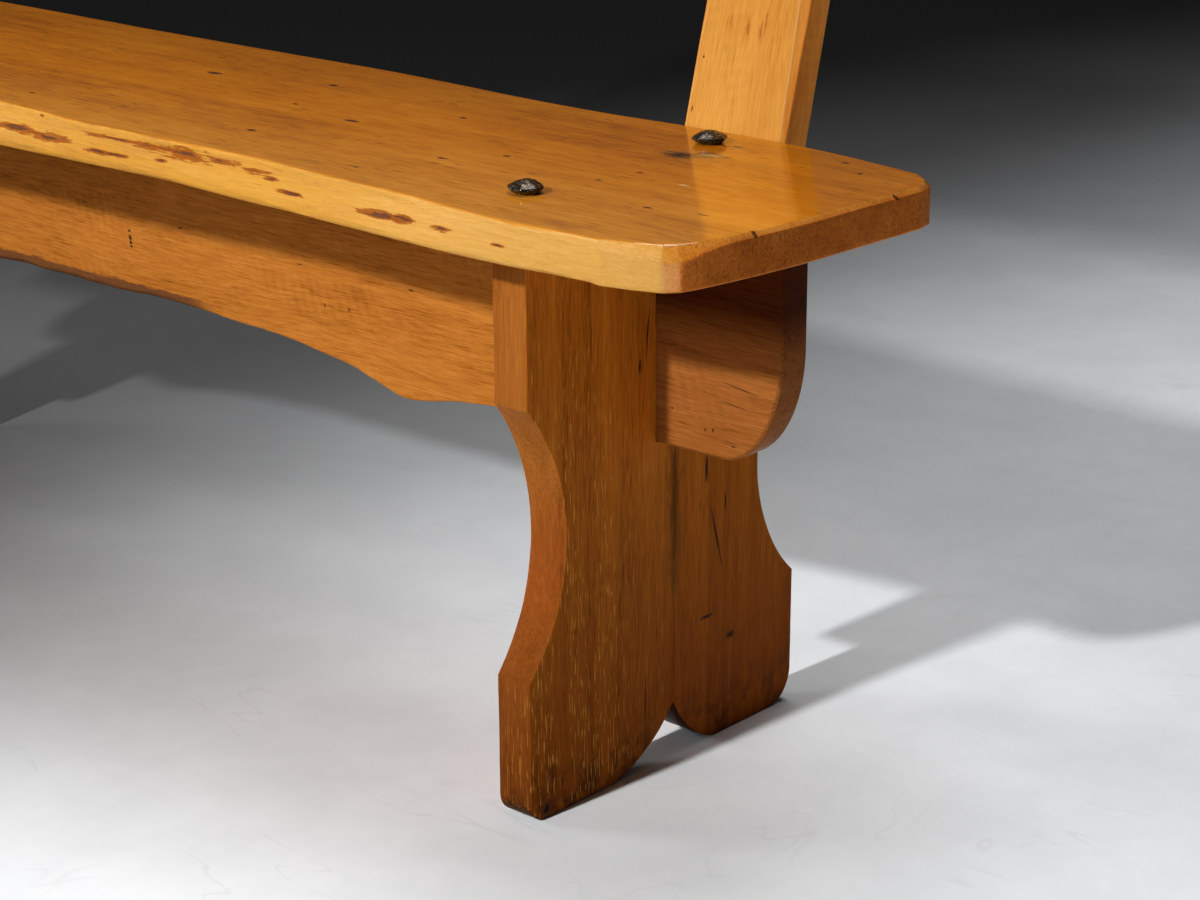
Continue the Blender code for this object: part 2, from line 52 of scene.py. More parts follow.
# Depths count from the legs' front edges, and BACK_SHIFT centres the bench
BACK_SHIFT = -0.15805
SEAT_HEIGHT = 0.45
LEG_HEIGHT = 0.421
LEG_THICK = 0.03
LEG_X = 0.505
LEG_DEPTH = 0.2975
LEG_SEAM = 0.156
SEAM_GAP = 0.0003
TOE_ROUND = 0.016
HEEL_ROUND = 0.026
TOP_ROUND = 0.012
ARCH_FRONT = 0.089
ARCH_REAR = 0.204
ARCH_HEIGHT = 0.0435
ARCH_SAG = 0.0075
WAIST_LOW = 0.107
WAIST_HIGH = 0.305
WAIST_INSIDE = 0.035
WAIST_OUTSIDE = 0.039
WAIST_REAR = 0.0445
STRETCHER_Y = 0.1481
STRETCHER_THICK = 0.0276
STRETCHER_LAP = 0.3355
POST_RAKE = math.radians(14.0)
POST_THICK = 0.029
POST_LAP = -0.09244
SEAT_BACK = 0.25
# The stretcher's and the post's slots in the leg lie between these depths
SLOTS_FROM = 0.1
SLOTS_TO = 0.2795
LEG_ARRIS = 0.0012
HIDDEN_ARRIS = 0.0004
# Each flat face has a narrow rim of its own, so that the arris beside it shades cleanly
FACE_RIM = 0.0006
OUTLINE_GAP = 0.005


def arc(start, through, end, steps):
    """Points of the circle through three points, from start up to but not including end."""
    (ax, ay), (bx, by), (cx, cy) = start, through, end
    d = 2 * (ax * (by - cy) + bx * (cy - ay) + cx * (ay - by))
    a2, b2, c2 = ax * ax + ay * ay, bx * bx + by * by, cx * cx + cy * cy
    x = (a2 * (by - cy) + b2 * (cy - ay) + c2 * (ay - by)) / d
    y = (a2 * (cx - bx) + b2 * (ax - cx) + c2 * (bx - ax)) / d
    radius = math.hypot(ax - x, ay - y)
    first = math.atan2(ay - y, ax - x)
    middle = (math.atan2(by - y, bx - x) - first) % math.tau
    turn = (math.atan2(cy - y, cx - x) - first) % math.tau
    if middle > turn:
        turn -= math.tau
    angles = [first + turn * k / steps for k in range(steps)]
    return [(x + radius * math.cos(a), y + radius * math.sin(a)) for a in angles]


def round_corner(before, corner, after, steps):
    middle = [(before[k] + after[k]) / 2 for k in (0, 1)]
    reach = 2 - math.sqrt(2)
    through = tuple(corner[k] + (middle[k] - corner[k]) * reach for k in (0, 1))
    return arc(before, through, after, steps) + [after]


def lobe(start, end, sag, steps):
    """An arc that hangs to the right of the straight line from start to end."""
    dx, dy = end[0] - start[0], end[1] - start[1]
    length = math.hypot(dx, dy)
    through = (
        (start[0] + end[0]) / 2 + dy / length * sag,
        (start[1] + end[1]) / 2 - dx / length * sag,
    )
    return arc(start, through, end, steps)


def side_of_seam(outline, seam, keep):
    """The part of a closed outline before (keep -1) or behind (keep 1) the upright seam."""
    kept = []
    for (ay, az), (by, bz) in zip(outline, outline[1:] + outline[:1]):
        a_in, b_in = (ay - seam) * keep >= 0, (by - seam) * keep >= 0
        if a_in:
            kept.append((ay, az))
        if a_in != b_in:
            kept.append((seam, az + (bz - az) * (seam - ay) / (by - ay)))
    return kept


def dense(points, gap):
    """Closed points with more added, so that none lie further apart in their plane than gap."""
    added = []
    for a, b in zip(points, points[1:] + points[:1]):
        count = max(1, math.ceil(math.dist(a[:2], b[:2]) / gap))
        added += [tuple(np.add(a, np.subtract(b, a) * k / count)) for k in range(count)]
    return added


def walked(outline, gap):
    points = dense(outline, gap)
    return np.array([p for k, p in enumerate(points) if math.dist(p, points[k - 1]) > 1e-5])


def inward(outline):
    """Vectors into a closed anticlockwise outline that keep an inset even at its corners."""
    ahead = np.roll(outline, -1, axis=0) - outline
    ahead /= np.linalg.norm(ahead, axis=1)[:, None]
    normal = np.stack([-ahead[:, 1], ahead[:, 0]], axis=1)
    both = normal + np.roll(normal, 1, axis=0)
    length = np.linalg.norm(both, axis=1)[:, None]
    return both / length * np.minimum(2 / length, 1.5)


def waver(at, seed, height=0.0004):
    """The slow unevenness of hand planing: a few waves of fixed phase."""
    lengths = (0.31, 0.173, 0.097, 0.053)
    phases = [(seed * 1.7 + k * 2.3) % math.tau for k in range(4)]
    waves = [np.sin(at * math.tau / w + p) * w for w, p in zip(lengths, phases)]
    return height * sum(waves) / 0.35


def arris_profile(near, round_share):
    """Six steps (inset, rise) over an arris of size near: a round where round_share is 1,
    and a flat chamfer with eased edges where it is 0."""
    near = np.asarray(near, float)
    ease = near * 0.16
    flat = [
        (0 * near, -ease),
        (0.17 * ease, -0.07 * ease),
        (0.71 * ease, 0.71 * ease),
        (near - 0.71 * ease, near - 0.71 * ease),
        (near + 0.07 * ease, near - 0.17 * ease),
        (near + ease, near),
    ]
    steps = []
    for k, (inset, rise) in enumerate(flat):
        turn = math.pi / 2 * k / 5
        round_inset, round_rise = near * (1 - math.cos(turn)), near * math.sin(turn)
        inset = inset + (round_inset - inset) * round_share
        steps.append((inset, rise + (round_rise - rise) * round_share))
    return steps


def board_mesh(name, outline, thick, low, high, round_share, lean, place, face=None):
    """A board from its outline: eased lower arrises, an edge that may lean, upper arrises.

    low, high, round_share and lean hold one value for each point of the outline. place turns
    (along, across, up) into the bench's frame. face(points, up, rise) gives how far the edge's
    face swells out or is worn in.
    """
    count = len(outline)
    into = inward(outline)
    low, high, lean = (np.broadcast_to(v, count).astype(float) for v in (low, high, lean))
    round_share = np.broadcast_to(round_share, count)
    rows = [(low + FACE_RIM, 0 * low)]
    for k in range(5):
        turn = math.pi / 2 * k / 4
        rows.append((low * (1 - math.sin(turn)), low * (1 - math.cos(turn))))
    steps = arris_profile(high, round_share)
    top = thick - high
    levels = 12 if face else 4
    for k in range(1, levels):
        share = k / levels
        rows.append((lean * share**1.25, low + (top + steps[0][1] - low) * share))
    rows += [(lean + inset, top + rise) for inset, rise in steps]
    rows.append((rows[-1][0] + FACE_RIM, rows[-1][1]))
    if face:
        shares = [min(1.0, k / 4, (len(rows) - 1 - k) / 4) for k in range(len(rows))]
        rows = [(inset - face(outline, rise) * s, rise) for s, (inset, rise) in zip(shares, rows)]
    points = [np.column_stack([outline + into * inset[:, None], rise]) for inset, rise in rows]
    points = place(np.concatenate(points))
    faces = []
    for row in range(len(rows) - 1):
        base = row * count
        for k in range(count):
            n = (k + 1) % count
            faces.append((base + k, base + n, base + count + n, base + count + k))
    faces.append(tuple(range(count - 1, -1, -1)))
    faces.append(tuple(range((len(rows) - 1) * count, len(rows) * count)))
    mesh = bpy.data.meshes.new(name)
    mesh.from_pydata(points.tolist(), [], faces)
    mesh.shade_smooth()
    mesh.set_sharp_from_angle(angle=math.radians(38))
    return mesh


def new_object(name, data):
    made = bpy.data.objects.new(name, data)
    bpy.context.scene.collection.objects.link(made)
    return made


def show(name, mesh, material, slot, *nodes):
    """Adds a finished piece that stands for CAD nodes, in its finish, on the bench's body."""
    piece = new_object(name, mesh)
    if material:
        mesh.materials.append(material)
    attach(piece, "root")
    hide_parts(*nodes)
    return piece


def leg_outline(waist):
    """(y, z) round both boards together, from the toe to the heel and over the top."""
    middle = (WAIST_LOW + WAIST_HIGH) / 2
    back, top = LEG_DEPTH, LEG_HEIGHT
    cusp = (LEG_SEAM, ARCH_HEIGHT)
    outline = round_corner((0.0, TOE_ROUND), (0.0, 0.0), (TOE_ROUND, 0.0), 8)
    outline += lobe((ARCH_FRONT, 0.0), cusp, ARCH_SAG, 14)
    outline += lobe(cusp, (ARCH_REAR, 0.0), ARCH_SAG, 12)
    outline.append((ARCH_REAR, 0.0))
    outline += round_corner((back - HEEL_ROUND, 0.0), (back, 0.0), (back, HEEL_ROUND), 9)
    outline += arc((back, WAIST_LOW), (back - WAIST_REAR, middle), (back, WAIST_HIGH), 48)
    outline.append((back, WAIST_HIGH))
    outline += round_corner((back, top - TOP_ROUND), (back, top), (back - TOP_ROUND, top), 6)
    lean, rise = math.sin(POST_RAKE), math.cos(POST_RAKE)
    behind, before = POST_THICK + SEAM_GAP, -SEAM_GAP
    for along, deep in ((behind, False), (behind, True), (before, True), (before, False)):
        s = POST_LAP if deep else (top - SEAT_HEIGHT + along * lean) / rise
        y = SEAT_BACK + along * rise + s * lean
        outline.append((y, SEAT_HEIGHT - along * lean + s * rise))
    half = STRETCHER_THICK / 2 + SEAM_GAP
    outline += [
        (STRETCHER_Y + half, top), (STRETCHER_Y + half, STRETCHER_LAP),
        (STRETCHER_Y - half, STRETCHER_LAP), (STRETCHER_Y - half, top), (0.0, top),
    ]
    outline += arc((0.0, WAIST_HIGH), (waist, middle), (0.0, WAIST_LOW), 48)
    outline.append((0.0, WAIST_LOW))
    return outline


def leg_board(name, side, keep):
    """A leg's front (keep -1) or rear (keep 1) board. Its waist is scooped deeper outside."""
    seam = LEG_SEAM + keep * SEAM_GAP / 2
    outline = leg_outline(WAIST_INSIDE if side > 0 else WAIST_OUTSIDE)
    points = walked(side_of_seam(outline, seam, keep), OUTLINE_GAP)
    y, z = points[:, 0], points[:, 1]
    in_slot = (z > STRETCHER_LAP - 0.001) & (y > SLOTS_FROM) & (y < SLOTS_TO)
    hidden = (np.abs(y - seam) < 1e-5) | in_slot
    soft = np.where(hidden, HIDDEN_ARRIS, LEG_ARRIS + waver(y + 2 * z, 3 + side))
    share = np.clip((z - WAIST_LOW) / (WAIST_HIGH - WAIST_LOW), 0, 1)
    deeper = side * (WAIST_OUTSIDE - WAIST_INSIDE)
    lean = np.where(y < 0.06, deeper * np.sin(math.pi * share), 0.0)
    start = side * LEG_X - LEG_THICK / 2

    def place(p):
        return np.column_stack([start + p[:, 2], p[:, 0] + BACK_SHIFT, p[:, 1]])

    return board_mesh(name, points, LEG_THICK, soft, soft, 1.0, lean, place)


def feed(made, sockets):
    """Gives inputs of a node their values, or links them to the output given instead."""
    for socket, value in sockets:
        target = made.inputs[socket]
        if isinstance(value, bpy.types.NodeSocket):
            made.id_data.links.new(value, target)
        else:
            target.default_value = (*value, 1.0) if target.type == "RGBA" else value


def node(kind, sockets=(), tree=None, **settings):
    """Adds a node to the tree of the outputs it is linked to, or else to the given tree."""
    sockets = list(sockets)
    tree = tree or next(v.id_data for _, v in sockets if isinstance(v, bpy.types.NodeSocket))
    made = tree.nodes.new(kind)
    for key, value in settings.items():
        setattr(made, key, value)
    feed(made, sockets)
    return made


def output(kind, sockets=(), tree=None, **settings):
    return node(kind, sockets, tree, **settings).outputs[0]


def calc(operation, *values, clamp=False):
    return output("ShaderNodeMath", enumerate(values), operation=operation, use_clamp=clamp)


def times(*values):
    return functools.reduce(functools.partial(calc, "MULTIPLY"), values)


def plus(*values):
    return functools.reduce(functools.partial(calc, "ADD"), values)


def vector_calc(operation, *vectors):
    return output("ShaderNodeVectorMath", enumerate(vectors), operation=operation)


def xyz(vector):
    return node("ShaderNodeSeparateXYZ", ((0, vector),)).outputs


def step(value, low, high, to_low=0.0, to_high=1.0):
    """Eases a value from to_low to to_high as it passes from low to high."""
    sockets = ((0, value), (1, low), (2, high), (3, to_low), (4, to_high))
    return output("ShaderNodeMapRange", sockets, interpolation_type="SMOOTHSTEP")


def fade(value, low, high):
    return step(value, low, high, 1.0, 0.0)


def between(value, low, rise, fall, high):
    """Eases from 0 to 1 from low to rise, and back to 0 from fall to high."""
    return times(step(value, low, rise), fade(value, fall, high))


def noise(vector, scale, detail=2.0, rough=0.5):
    """Noise as fine along x, y and z as scale says."""
    vector = vector_calc("MULTIPLY", vector, scale)
    sockets = (("Vector", vector), ("Scale", 1.0), ("Detail", detail), ("Roughness", rough))
    return node("ShaderNodeTexNoise", sockets).outputs["Fac"]


def blend(share, first, second, blend_type="MIX"):
    sockets = ((0, share), (6, first), (7, second))
    return node("ShaderNodeMix", sockets, data_type="RGBA", blend_type=blend_type).outputs[2]


def tint(share, colour, by):
    return blend(share, colour, by, "MULTIPLY")


def new_group(name, inputs, outputs):
    """A shader node group. inputs and outputs list the names of each kind of socket."""
    group = bpy.data.node_groups.new(name, "ShaderNodeTree")
    for way, kinds in (("INPUT", inputs), ("OUTPUT", outputs)):
        for kind, labels in kinds.items():
            for label in labels:
                group.interface.new_socket(label, in_out=way, socket_type="NodeSocket" + kind)
    given = group.nodes.new("NodeGroupInput").outputs
    return group, given, group.nodes.new("NodeGroupOutput")


def new_finish(name):
    """A material, its shader, and the coordinates of the piece's points."""
    material = bpy.data.materials.new(name)
    material.use_nodes = True
    tree = material.node_tree
    coords = node("ShaderNodeTexCoord", tree=tree).outputs
    return material, tree.nodes["Principled BSDF"], coords


def grain_group():
    """Varnished pine. The vector's x runs along the grain, and its origin is the heart."""
    group, given, out = new_group(
        "pine_grain",
        {
            "Vector": ("Place",),
            "Color": ("Pale", "Middle", "Deep"),
            "Float": ("End", "Ring", "Rings", "Streaks", "Fibres", "Clouds", "Curl", "Pores"),
        },
        {"Color": ("Color",), "Float": ("Matt", "Height")},
    )

    def swing(value):
        return times(calc("SUBTRACT", value, 0.5), 4.0)

    place = given["Place"]
    slow = vector_calc("MULTIPLY", place, (2.2, 9, 9))
    bend = node("ShaderNodeTexNoise", (("Vector", slow), ("Scale", 1.0))).outputs["Color"]
    bend = vector_calc("SUBTRACT", bend, (0.5, 0.5, 0.5))
    bent = vector_calc("ADD", place, vector_calc("MULTIPLY", bend, (0.0, 0.03, 0.03)))
    x, y, z = xyz(bent)
    across = plus(calc("POWER", y, 2.0), calc("POWER", z, 2.0))
    years = calc("DIVIDE", calc("SQRT", across), given["Ring"])
    uneven = noise(output("ShaderNodeCombineXYZ", ((0, years),)), (0.6, 0, 0))
    years = plus(years, times(uneven, 1.8))
    late = between(calc("FRACT", years), 0.2, 0.88, 0.92, 1.0)
    ring_seen = step(noise(place, (1.6, 9, 9)), 0.38, 0.62, 0.25, 1.0)
    streak = noise(bent, (1.5, 60, 60), 4.0, 0.6)
    fibre = noise(bent, (28, 640, 640), 3.0, 0.65)
    hair = noise(bent, (55, 1500, 1500), 2.0, 0.6)
    cloud = noise(place, (6, 14, 14), 3.0, 0.6)
    wander = noise(place, (24, 40, 40), 3.0)
    figured = step(noise(place, (8, 20, 20)), 0.46, 0.68)
    ripple = plus(times(plus(x, times(z, 0.3)), 620.0), times(wander, 6.0))
    ripple = times(calc("SINE", ripple), figured, noise(place, (90, 260, 260)))
    shade = plus(
        times(calc("SUBTRACT", late, 0.35), given["Rings"], ring_seen),
        times(swing(streak), given["Streaks"]),
        times(plus(swing(fibre), times(swing(hair), 0.8)), given["Fibres"]),
        times(swing(cloud), given["Clouds"]),
        times(ripple, given["Curl"]),
        0.5,
    )
    colour = blend(step(shade, -0.15, 0.55), given["Pale"], given["Middle"])
    colour = blend(step(shade, 0.45, 1.25), colour, given["Deep"])
    cells = vector_calc("MULTIPLY", bent, (55, 620, 620))
    pore = node("ShaderNodeTexVoronoi", (("Vector", cells), ("Scale", 1.0))).outputs
    pitted = times(
        fade(pore["Distance"], 0.2, 0.42),
        step(xyz(pore["Color"])[0], 0.76, 0.84),
        step(noise(place, (12, 40, 40)), 0.45, 0.64),
        given["Pores"],
    )
    colour = blend(times(pitted, 0.75), colour, (0.05, 0.016, 0.005))
    dots = noise(place, (120, 1000, 330), 2.0, 0.75)
    coarse = noise(place, (40, 110, 110), 4.0, 0.65)
    open_pores = times(step(dots, 0.5, 0.62), step(coarse, 0.38, 0.58))
    sawn = blend(0.2, colour, given["Deep"])
    sawn = blend(times(open_pores, 0.65), sawn, (0.09, 0.025, 0.008))
    height = plus(times(fibre, 0.5), times(late, 0.15))
    height = calc("SUBTRACT", height, times(pitted, 1.2))
    height = calc("SUBTRACT", height, times(open_pores, given["End"], 0.8))
    feed(out, (
        ("Color", blend(given["End"], colour, sawn)),
        ("Matt", plus(times(cloud, 0.1), times(fibre, 0.14), times(pitted, 0.3))),
        ("Height", height),
    ))
    return group


def mark_group():
    """One mark in the wood, such as a bark pocket, knot or check: a ragged, stretched spot."""
    group, given, out = new_group(
        "wood_mark",
        {"Vector": ("Place", "Grain", "Centre", "Reach", "Tilt"), "Float": ("Ragged",)},
        {"Float": ("Core", "Rim")},
    )
    away = vector_calc("SUBTRACT", given["Place"], given["Centre"])
    turn = (("Vector", away), ("Rotation", given["Tilt"]))
    turned = output("ShaderNodeVectorRotate", turn, rotation_type="EULER_XYZ")
    scaled = vector_calc("DIVIDE", turned, given["Reach"])
    far = node("ShaderNodeVectorMath", ((0, scaled),), operation="LENGTH").outputs["Value"]
    tatter = calc("SUBTRACT", noise(given["Grain"], (38, 400, 400), 5.0, 0.74), 0.5)
    far = plus(far, times(tatter, times(given["Ragged"], 5.0)))
    feed(out, (("Core", fade(far, 0.4, 0.52)), ("Rim", fade(far, 0.84, 0.96))))
    return group


PINE = grain_group()
MARK = mark_group()


def varnished(name, heart, turn, looks, marks=(), touch=None, polish=0.9, sawn=(0.5, 0.8)):
    """A varnished pine finish for one board.

    heart is where its growth rings centre and turn the rotation that lays the grain along x.
    looks sets the grain's values, and marks lists (centre, reach, tilt, ragged, core, rim).
    touch may change the colour, roughness and relief for what only this board has. polish is
    how glossy its top is, and sawn how squarely a face must cut the grain to begin to look
    sawn, and to look it in full.
    """
    material, shader, coords = new_finish(name)
    laid, facing = (
        output("ShaderNodeMapping", (("Vector", coords[of]), ("Rotation", turn)), vector_type=kind)
        for of, kind in (("Object", "POINT"), ("Normal", "NORMAL"))
    )
    end = step(calc("ABSOLUTE", xyz(facing)[0]), *sawn)
    sockets = (("Place", vector_calc("SUBTRACT", laid, heart)), ("End", end), *looks.items())
    colour, matt, height = node("ShaderNodeGroup", sockets, node_tree=PINE).outputs
    if touch:
        colour, matt, height = touch(coords, colour, matt, height)
    for centre, reach, tilt, ragged, core, rim in marks:
        sockets = (
            ("Place", coords["Object"]), ("Grain", laid), ("Centre", centre), ("Reach", reach),
            ("Tilt", tilt), ("Ragged", ragged),
        )
        mark = node("ShaderNodeGroup", sockets, node_tree=MARK).outputs
        colour = blend(times(mark["Rim"], 0.9), colour, rim)
        colour = blend(mark["Core"], colour, core)
        height = calc("SUBTRACT", height, times(mark["Core"], 2.0))
        matt = plus(matt, times(mark["Core"], 0.25))
    relief = (("Strength", 0.22), ("Distance", 0.0006), ("Height", height))
    feed(shader, (
        ("Base Color", colour),
        ("Roughness", calc("ADD", matt, 0.22, clamp=True)),
        ("Normal", output("ShaderNodeBump", relief)),
        ("Specular IOR Level", 0.015),
        ("Coat Weight", step(xyz(coords["Normal"])[2], 0.55, 0.92, 0.0, polish)),
        ("Coat Roughness", 0.12),
    ))
    return material


UPRIGHT = (0.0, math.pi / 2, 0.0)
LENGTHWISE = (0.0, 0.0, 0.0)
BLACK_CHECK = (0.03, 0.012, 0.006)
BROWN_STAIN = (0.12, 0.036, 0.01)
LEG_LOOKS = {
    "Pale": (0.405, 0.132, 0.0167), "Middle": (0.299, 0.0889, 0.0101),
    "Deep": (0.158, 0.0387, 0.00352), "Ring": 0.0085, "Rings": 0.16, "Streaks": 0.4,
    "Fibres": 0.44, "Clouds": 0.14, "Curl": 0.0, "Pores": 0.6,
}
REAR_LOOKS = LEG_LOOKS | {
    "Pale": (0.352, 0.106, 0.0114), "Middle": (0.251, 0.0686, 0.00616), "Streaks": 0.5,
}


def leg_mark(y, z, high, wide, tilt=0.0, ragged=0.35, core=BLACK_CHECK, rim=BROWN_STAIN):
    centre = (LEG_X + LEG_THICK / 2, y + BACK_SHIFT, z)
    return (centre, (0.006, wide, high), (tilt, 0.0, 0.0), ragged, core, rim)


def foot_shade(coords, colour, matt, height):
    """Painted shade darkens the leg towards the foot and under the arch, and the foot is
    scuffed and grimy.

    The outside is painted evenly lighter, standing in for light, and the sawn sides
    are redder where the scoop is deepest.
    """
    up = xyz(coords["Object"])[2]
    across, _, upward = xyz(coords["Normal"])
    outside = step(calc("ABSOLUTE", across), 0.4, 0.9)
    sides = calc("SUBTRACT", 1.0, outside)
    colour = blend(times(sides, 0.2), colour, (0.34, 0.106, 0.0125))
    under = times(step(times(upward, -1.0), 0.1, 0.5), fade(up, 0.05, 0.09))
    # Painted light lightens the outside; painted shade darkens the foot and the arch's underside
    for share, by in (
        (sides, (0.9, 0.93, 1.15)),
        (outside, (1.6, 1.55, 1.02)),
        (times(between(up, 0.08, 0.16, 0.19, 0.27), sides), (0.94, 0.78, 0.85)),
        (times(sides, fade(up, 0.09, 0.12)), (0.84, 0.8, 0.84)),
        (step(up, 0.0, 0.27, 0.86, 0.0), (0.5, 0.37, 0.22)),
        (under, (0.26, 0.22, 0.18)),
    ):
        colour = tint(share, colour, by)
    grime = step(up, 0.0, 0.06, 0.8, 0.0)
    patch = step(noise(coords["Object"], (70, 70, 50), 4.0, 0.7), 0.42, 0.66)
    return blend(times(grime, patch), colour, (0.035, 0.012, 0.004)), matt, height


def pale_dashes(coords, colour, matt, height):
    """Short pale dashes in the brown varnish, in upright bands, thickest by the front edge.

    They lie on the outside, and more faintly on the sawn face of the foot.
    """
    colour, matt, height = foot_shade(coords, colour, matt, height)
    _, y, z = xyz(coords["Object"])
    outside = step(calc("ABSOLUTE", xyz(coords["Normal"])[0]), 0.6, 0.9)
    dashes = times(
        step(noise(coords["Object"], (10, 55, 3.5), 3.0, 0.6), 0.37, 0.55),
        step(z, 0.2, 0.4, 1.0, 0.35),
        step(y, -0.095, -0.035, 1.0, 0.25),
        step(noise(coords["Object"], (700, 700, 62), 1.0), 0.6, 0.66),
        calc("MAXIMUM", outside, step(z, 0.095, 0.11, 0.18, 0.0)),
        0.75,
    )
    return blend(dashes, colour, (0.76, 0.35, 0.05)), matt, height


DARK_SEAM = leg_mark(
    0.156, 0.195, 0.085, 0.0064, 0.0, 0.6, (0.17, 0.05, 0.006), (0.24, 0.075, 0.008)
)
FRONT_BOARD_MARKS = [leg_mark(*row) for row in (
    (0.117, 0.31, 0.006, 0.0016, 0.05, 0.3),
    (0.1255, 0.335, 0.02, 0.001, 0.1, 0.5),
    (0.124, 0.052, 0.026, 0.001, 0.0, 0.3),
    (0.0166, 0.0072, 0.008, 0.006, 0.5, 0.2),
    (0.1609, 0.0992, 0.001, 0.005, 0.0, 0.4),
)] + [DARK_SEAM]
REAR_BOARD_MARKS = [leg_mark(*row) for row in (
    (0.2047, 0.1585, 0.03, 0.0014, -0.267, 0.16),
    (0.2145, 0.184, 0.009, 0.0011, 0.0, 0.25),
    (0.194, 0.0993, 0.0018, 0.008, 0.0, 0.3),
    (0.2219, 0.0764, 0.0034, 0.0058, 0.0, 0.5),
    (0.192, 0.215, 0.014, 0.0018, 0.0, 0.5),
)] + [DARK_SEAM]
LEG_BOARDS = (
    ("front", -1, FRONT_BOARD_MARKS, (0.0, 0.2, 0.1), LEG_LOOKS, pale_dashes),
    ("rear", 1, REAR_BOARD_MARKS, (0.3, -0.02, 0.16), REAR_LOOKS, foot_shade),
)
for side_name, side in (("right", 1), ("left", -1)):
    for board, keep, marks, heart, looks, touch in LEG_BOARDS:
        name = f"{side_name}_leg_{board}_board"
        marks = marks if side > 0 else marks[:2]
        finish = varnished(
            name + "_finish", heart, UPRIGHT, looks, marks, touch, polish=0.2, sawn=(0.8, 0.95)
        )
        show(name + "_visual", leg_board(name, side, keep), finish, "leg_wood", name)


# Dowels
# Two beech dowels cross each leg's glue line inside the wood. Nothing of them shows, so the
# CAD's own dowels stay, in bare pale wood.

bare, bare_shader, coords = new_finish("bare_beech")
beech = noise(coords["Object"], (900, 30, 900), 3.0)
beech = blend(beech, (0.62, 0.42, 0.22), (0.45, 0.27, 0.12))
feed(bare_shader, (("Base Color", beech),))
for name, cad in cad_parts.items():
    if "dowel" in name:
        for slot in cad.material_slots:
            slot.material = bare


# Stretcher
# A deep pine board on edge, let into both legs and cross-halved with them. Its foot keeps
# the tree's own edge, with a strip of bark left on one arris, and its ends are sawn round.

STRETCHER_LOW = 0.25
STRETCHER_TOP = 0.4207
STRETCHER_END = 0.631
NOSE_LONG = 0.052
NOSE_HIGH = 0.085
NOSE_ARRIS = 0.0024
STRETCHER_ARRIS = 0.0017
LEG_OUTSIDE = 0.52
# The front arris is broader where the bark is left on it
BARK_X = -0.12
BARK_REACH = 0.18
BARK_ARRIS = 0.0036
# The foot's edge: place from middle to leg, and rise
STRETCHER_EDGE = (
    (-0.94, -0.003), (-0.83, -0.011), (-0.76, -0.017), (-0.71, -0.017), (-0.65, -0.008),
    (-0.57, 0.0), (-0.43, 0.005), (-0.18, 0.0055), (0.07, 0.0075), (0.22, 0.005),
    (0.314, 0.001), (0.408, -0.005), (0.47, -0.0135), (0.51, -0.019), (0.56, -0.0175),
    (0.64, -0.01), (0.7, -0.006), (0.94, 0.0),
)


def natural(points, at):
    """A free-hand line: a smooth curve through (place, value) points, read at `at`."""
    places, values = np.array(points).T
    slopes = np.gradient(values, places)
    i = np.clip(np.searchsorted(places, at) - 1, 0, len(places) - 2)
    span = places[i + 1] - places[i]
    t = (at - places[i]) / span
    low = values[i] * (1 + 2 * t) * (1 - t) ** 2 + slopes[i] * span * t * (1 - t) ** 2
    high = values[i + 1] * (3 - 2 * t) * t**2 - slopes[i + 1] * span * (1 - t) * t**2
    return low + high


def stretcher_mesh():
    nose = []
    for k in range(1, 29):
        turn = math.pi / 2 * k / 28
        x = STRETCHER_END - NOSE_LONG * (1 - math.sin(turn))
        nose.append((x, STRETCHER_LOW + NOSE_HIGH * (1 - math.cos(turn))))
    nose.append((STRETCHER_END, STRETCHER_TOP))
    places = np.linspace(STRETCHER_EDGE[0][0], STRETCHER_EDGE[-1][0], 240)
    rises = natural(STRETCHER_EDGE, places) + waver(places, 5.0, 0.0005)
    outer, inner = LEG_X + LEG_THICK / 2 + SEAM_GAP, LEG_X - LEG_THICK / 2 - SEAM_GAP
    low, lap = STRETCHER_LOW, STRETCHER_LAP + SEAM_GAP
    foot = [(x, z) for x, z in zip(places * LEG_OUTSIDE, low + rises) if abs(x) < inner - 0.001]
    half = [(inner, low), (inner, lap), (outer, lap), (outer, low)] + nose
    points = walked(foot + half + [(-x, z) for x, z in reversed(half)], OUTLINE_GAP)
    x, z = points[:, 0], points[:, 1]
    in_notch = (np.abs(np.abs(x) - LEG_X) < LEG_THICK / 2 + 0.0015) & (z < lap + 0.001)
    soft = np.where(in_notch, HIDDEN_ARRIS, STRETCHER_ARRIS)
    nosed = np.abs(x) > LEG_OUTSIDE + 0.005
    front = np.where(nosed, NOSE_ARRIS, soft)
    waney = np.clip(1 - np.abs(x - BARK_X) / BARK_REACH, 0, 1) * (z < 0.3) * (np.abs(x) < 0.3)
    front = front + BARK_ARRIS * waney**0.5 * (1 + waver(x * 3, 1.0, 0.3))
    round_share = np.where(nosed, 0.2, np.where(waney > 0, 0.4, 1.0))

    def place(p):
        back = STRETCHER_Y + STRETCHER_THICK / 2 + BACK_SHIFT
        return np.column_stack([p[:, 0], back - p[:, 2], p[:, 1]])

    return board_mesh("stretcher", points, STRETCHER_THICK, soft, front, round_share, 0.0, place)


def stretcher_mark(x, z, wide, high, tilt=0.0, ragged=0.4):
    centre = (x, STRETCHER_Y - STRETCHER_THICK / 2 + BACK_SHIFT, z)
    return (centre, (wide, 0.005, high), (0.0, tilt, 0.0), ragged, BLACK_CHECK, BROWN_STAIN)


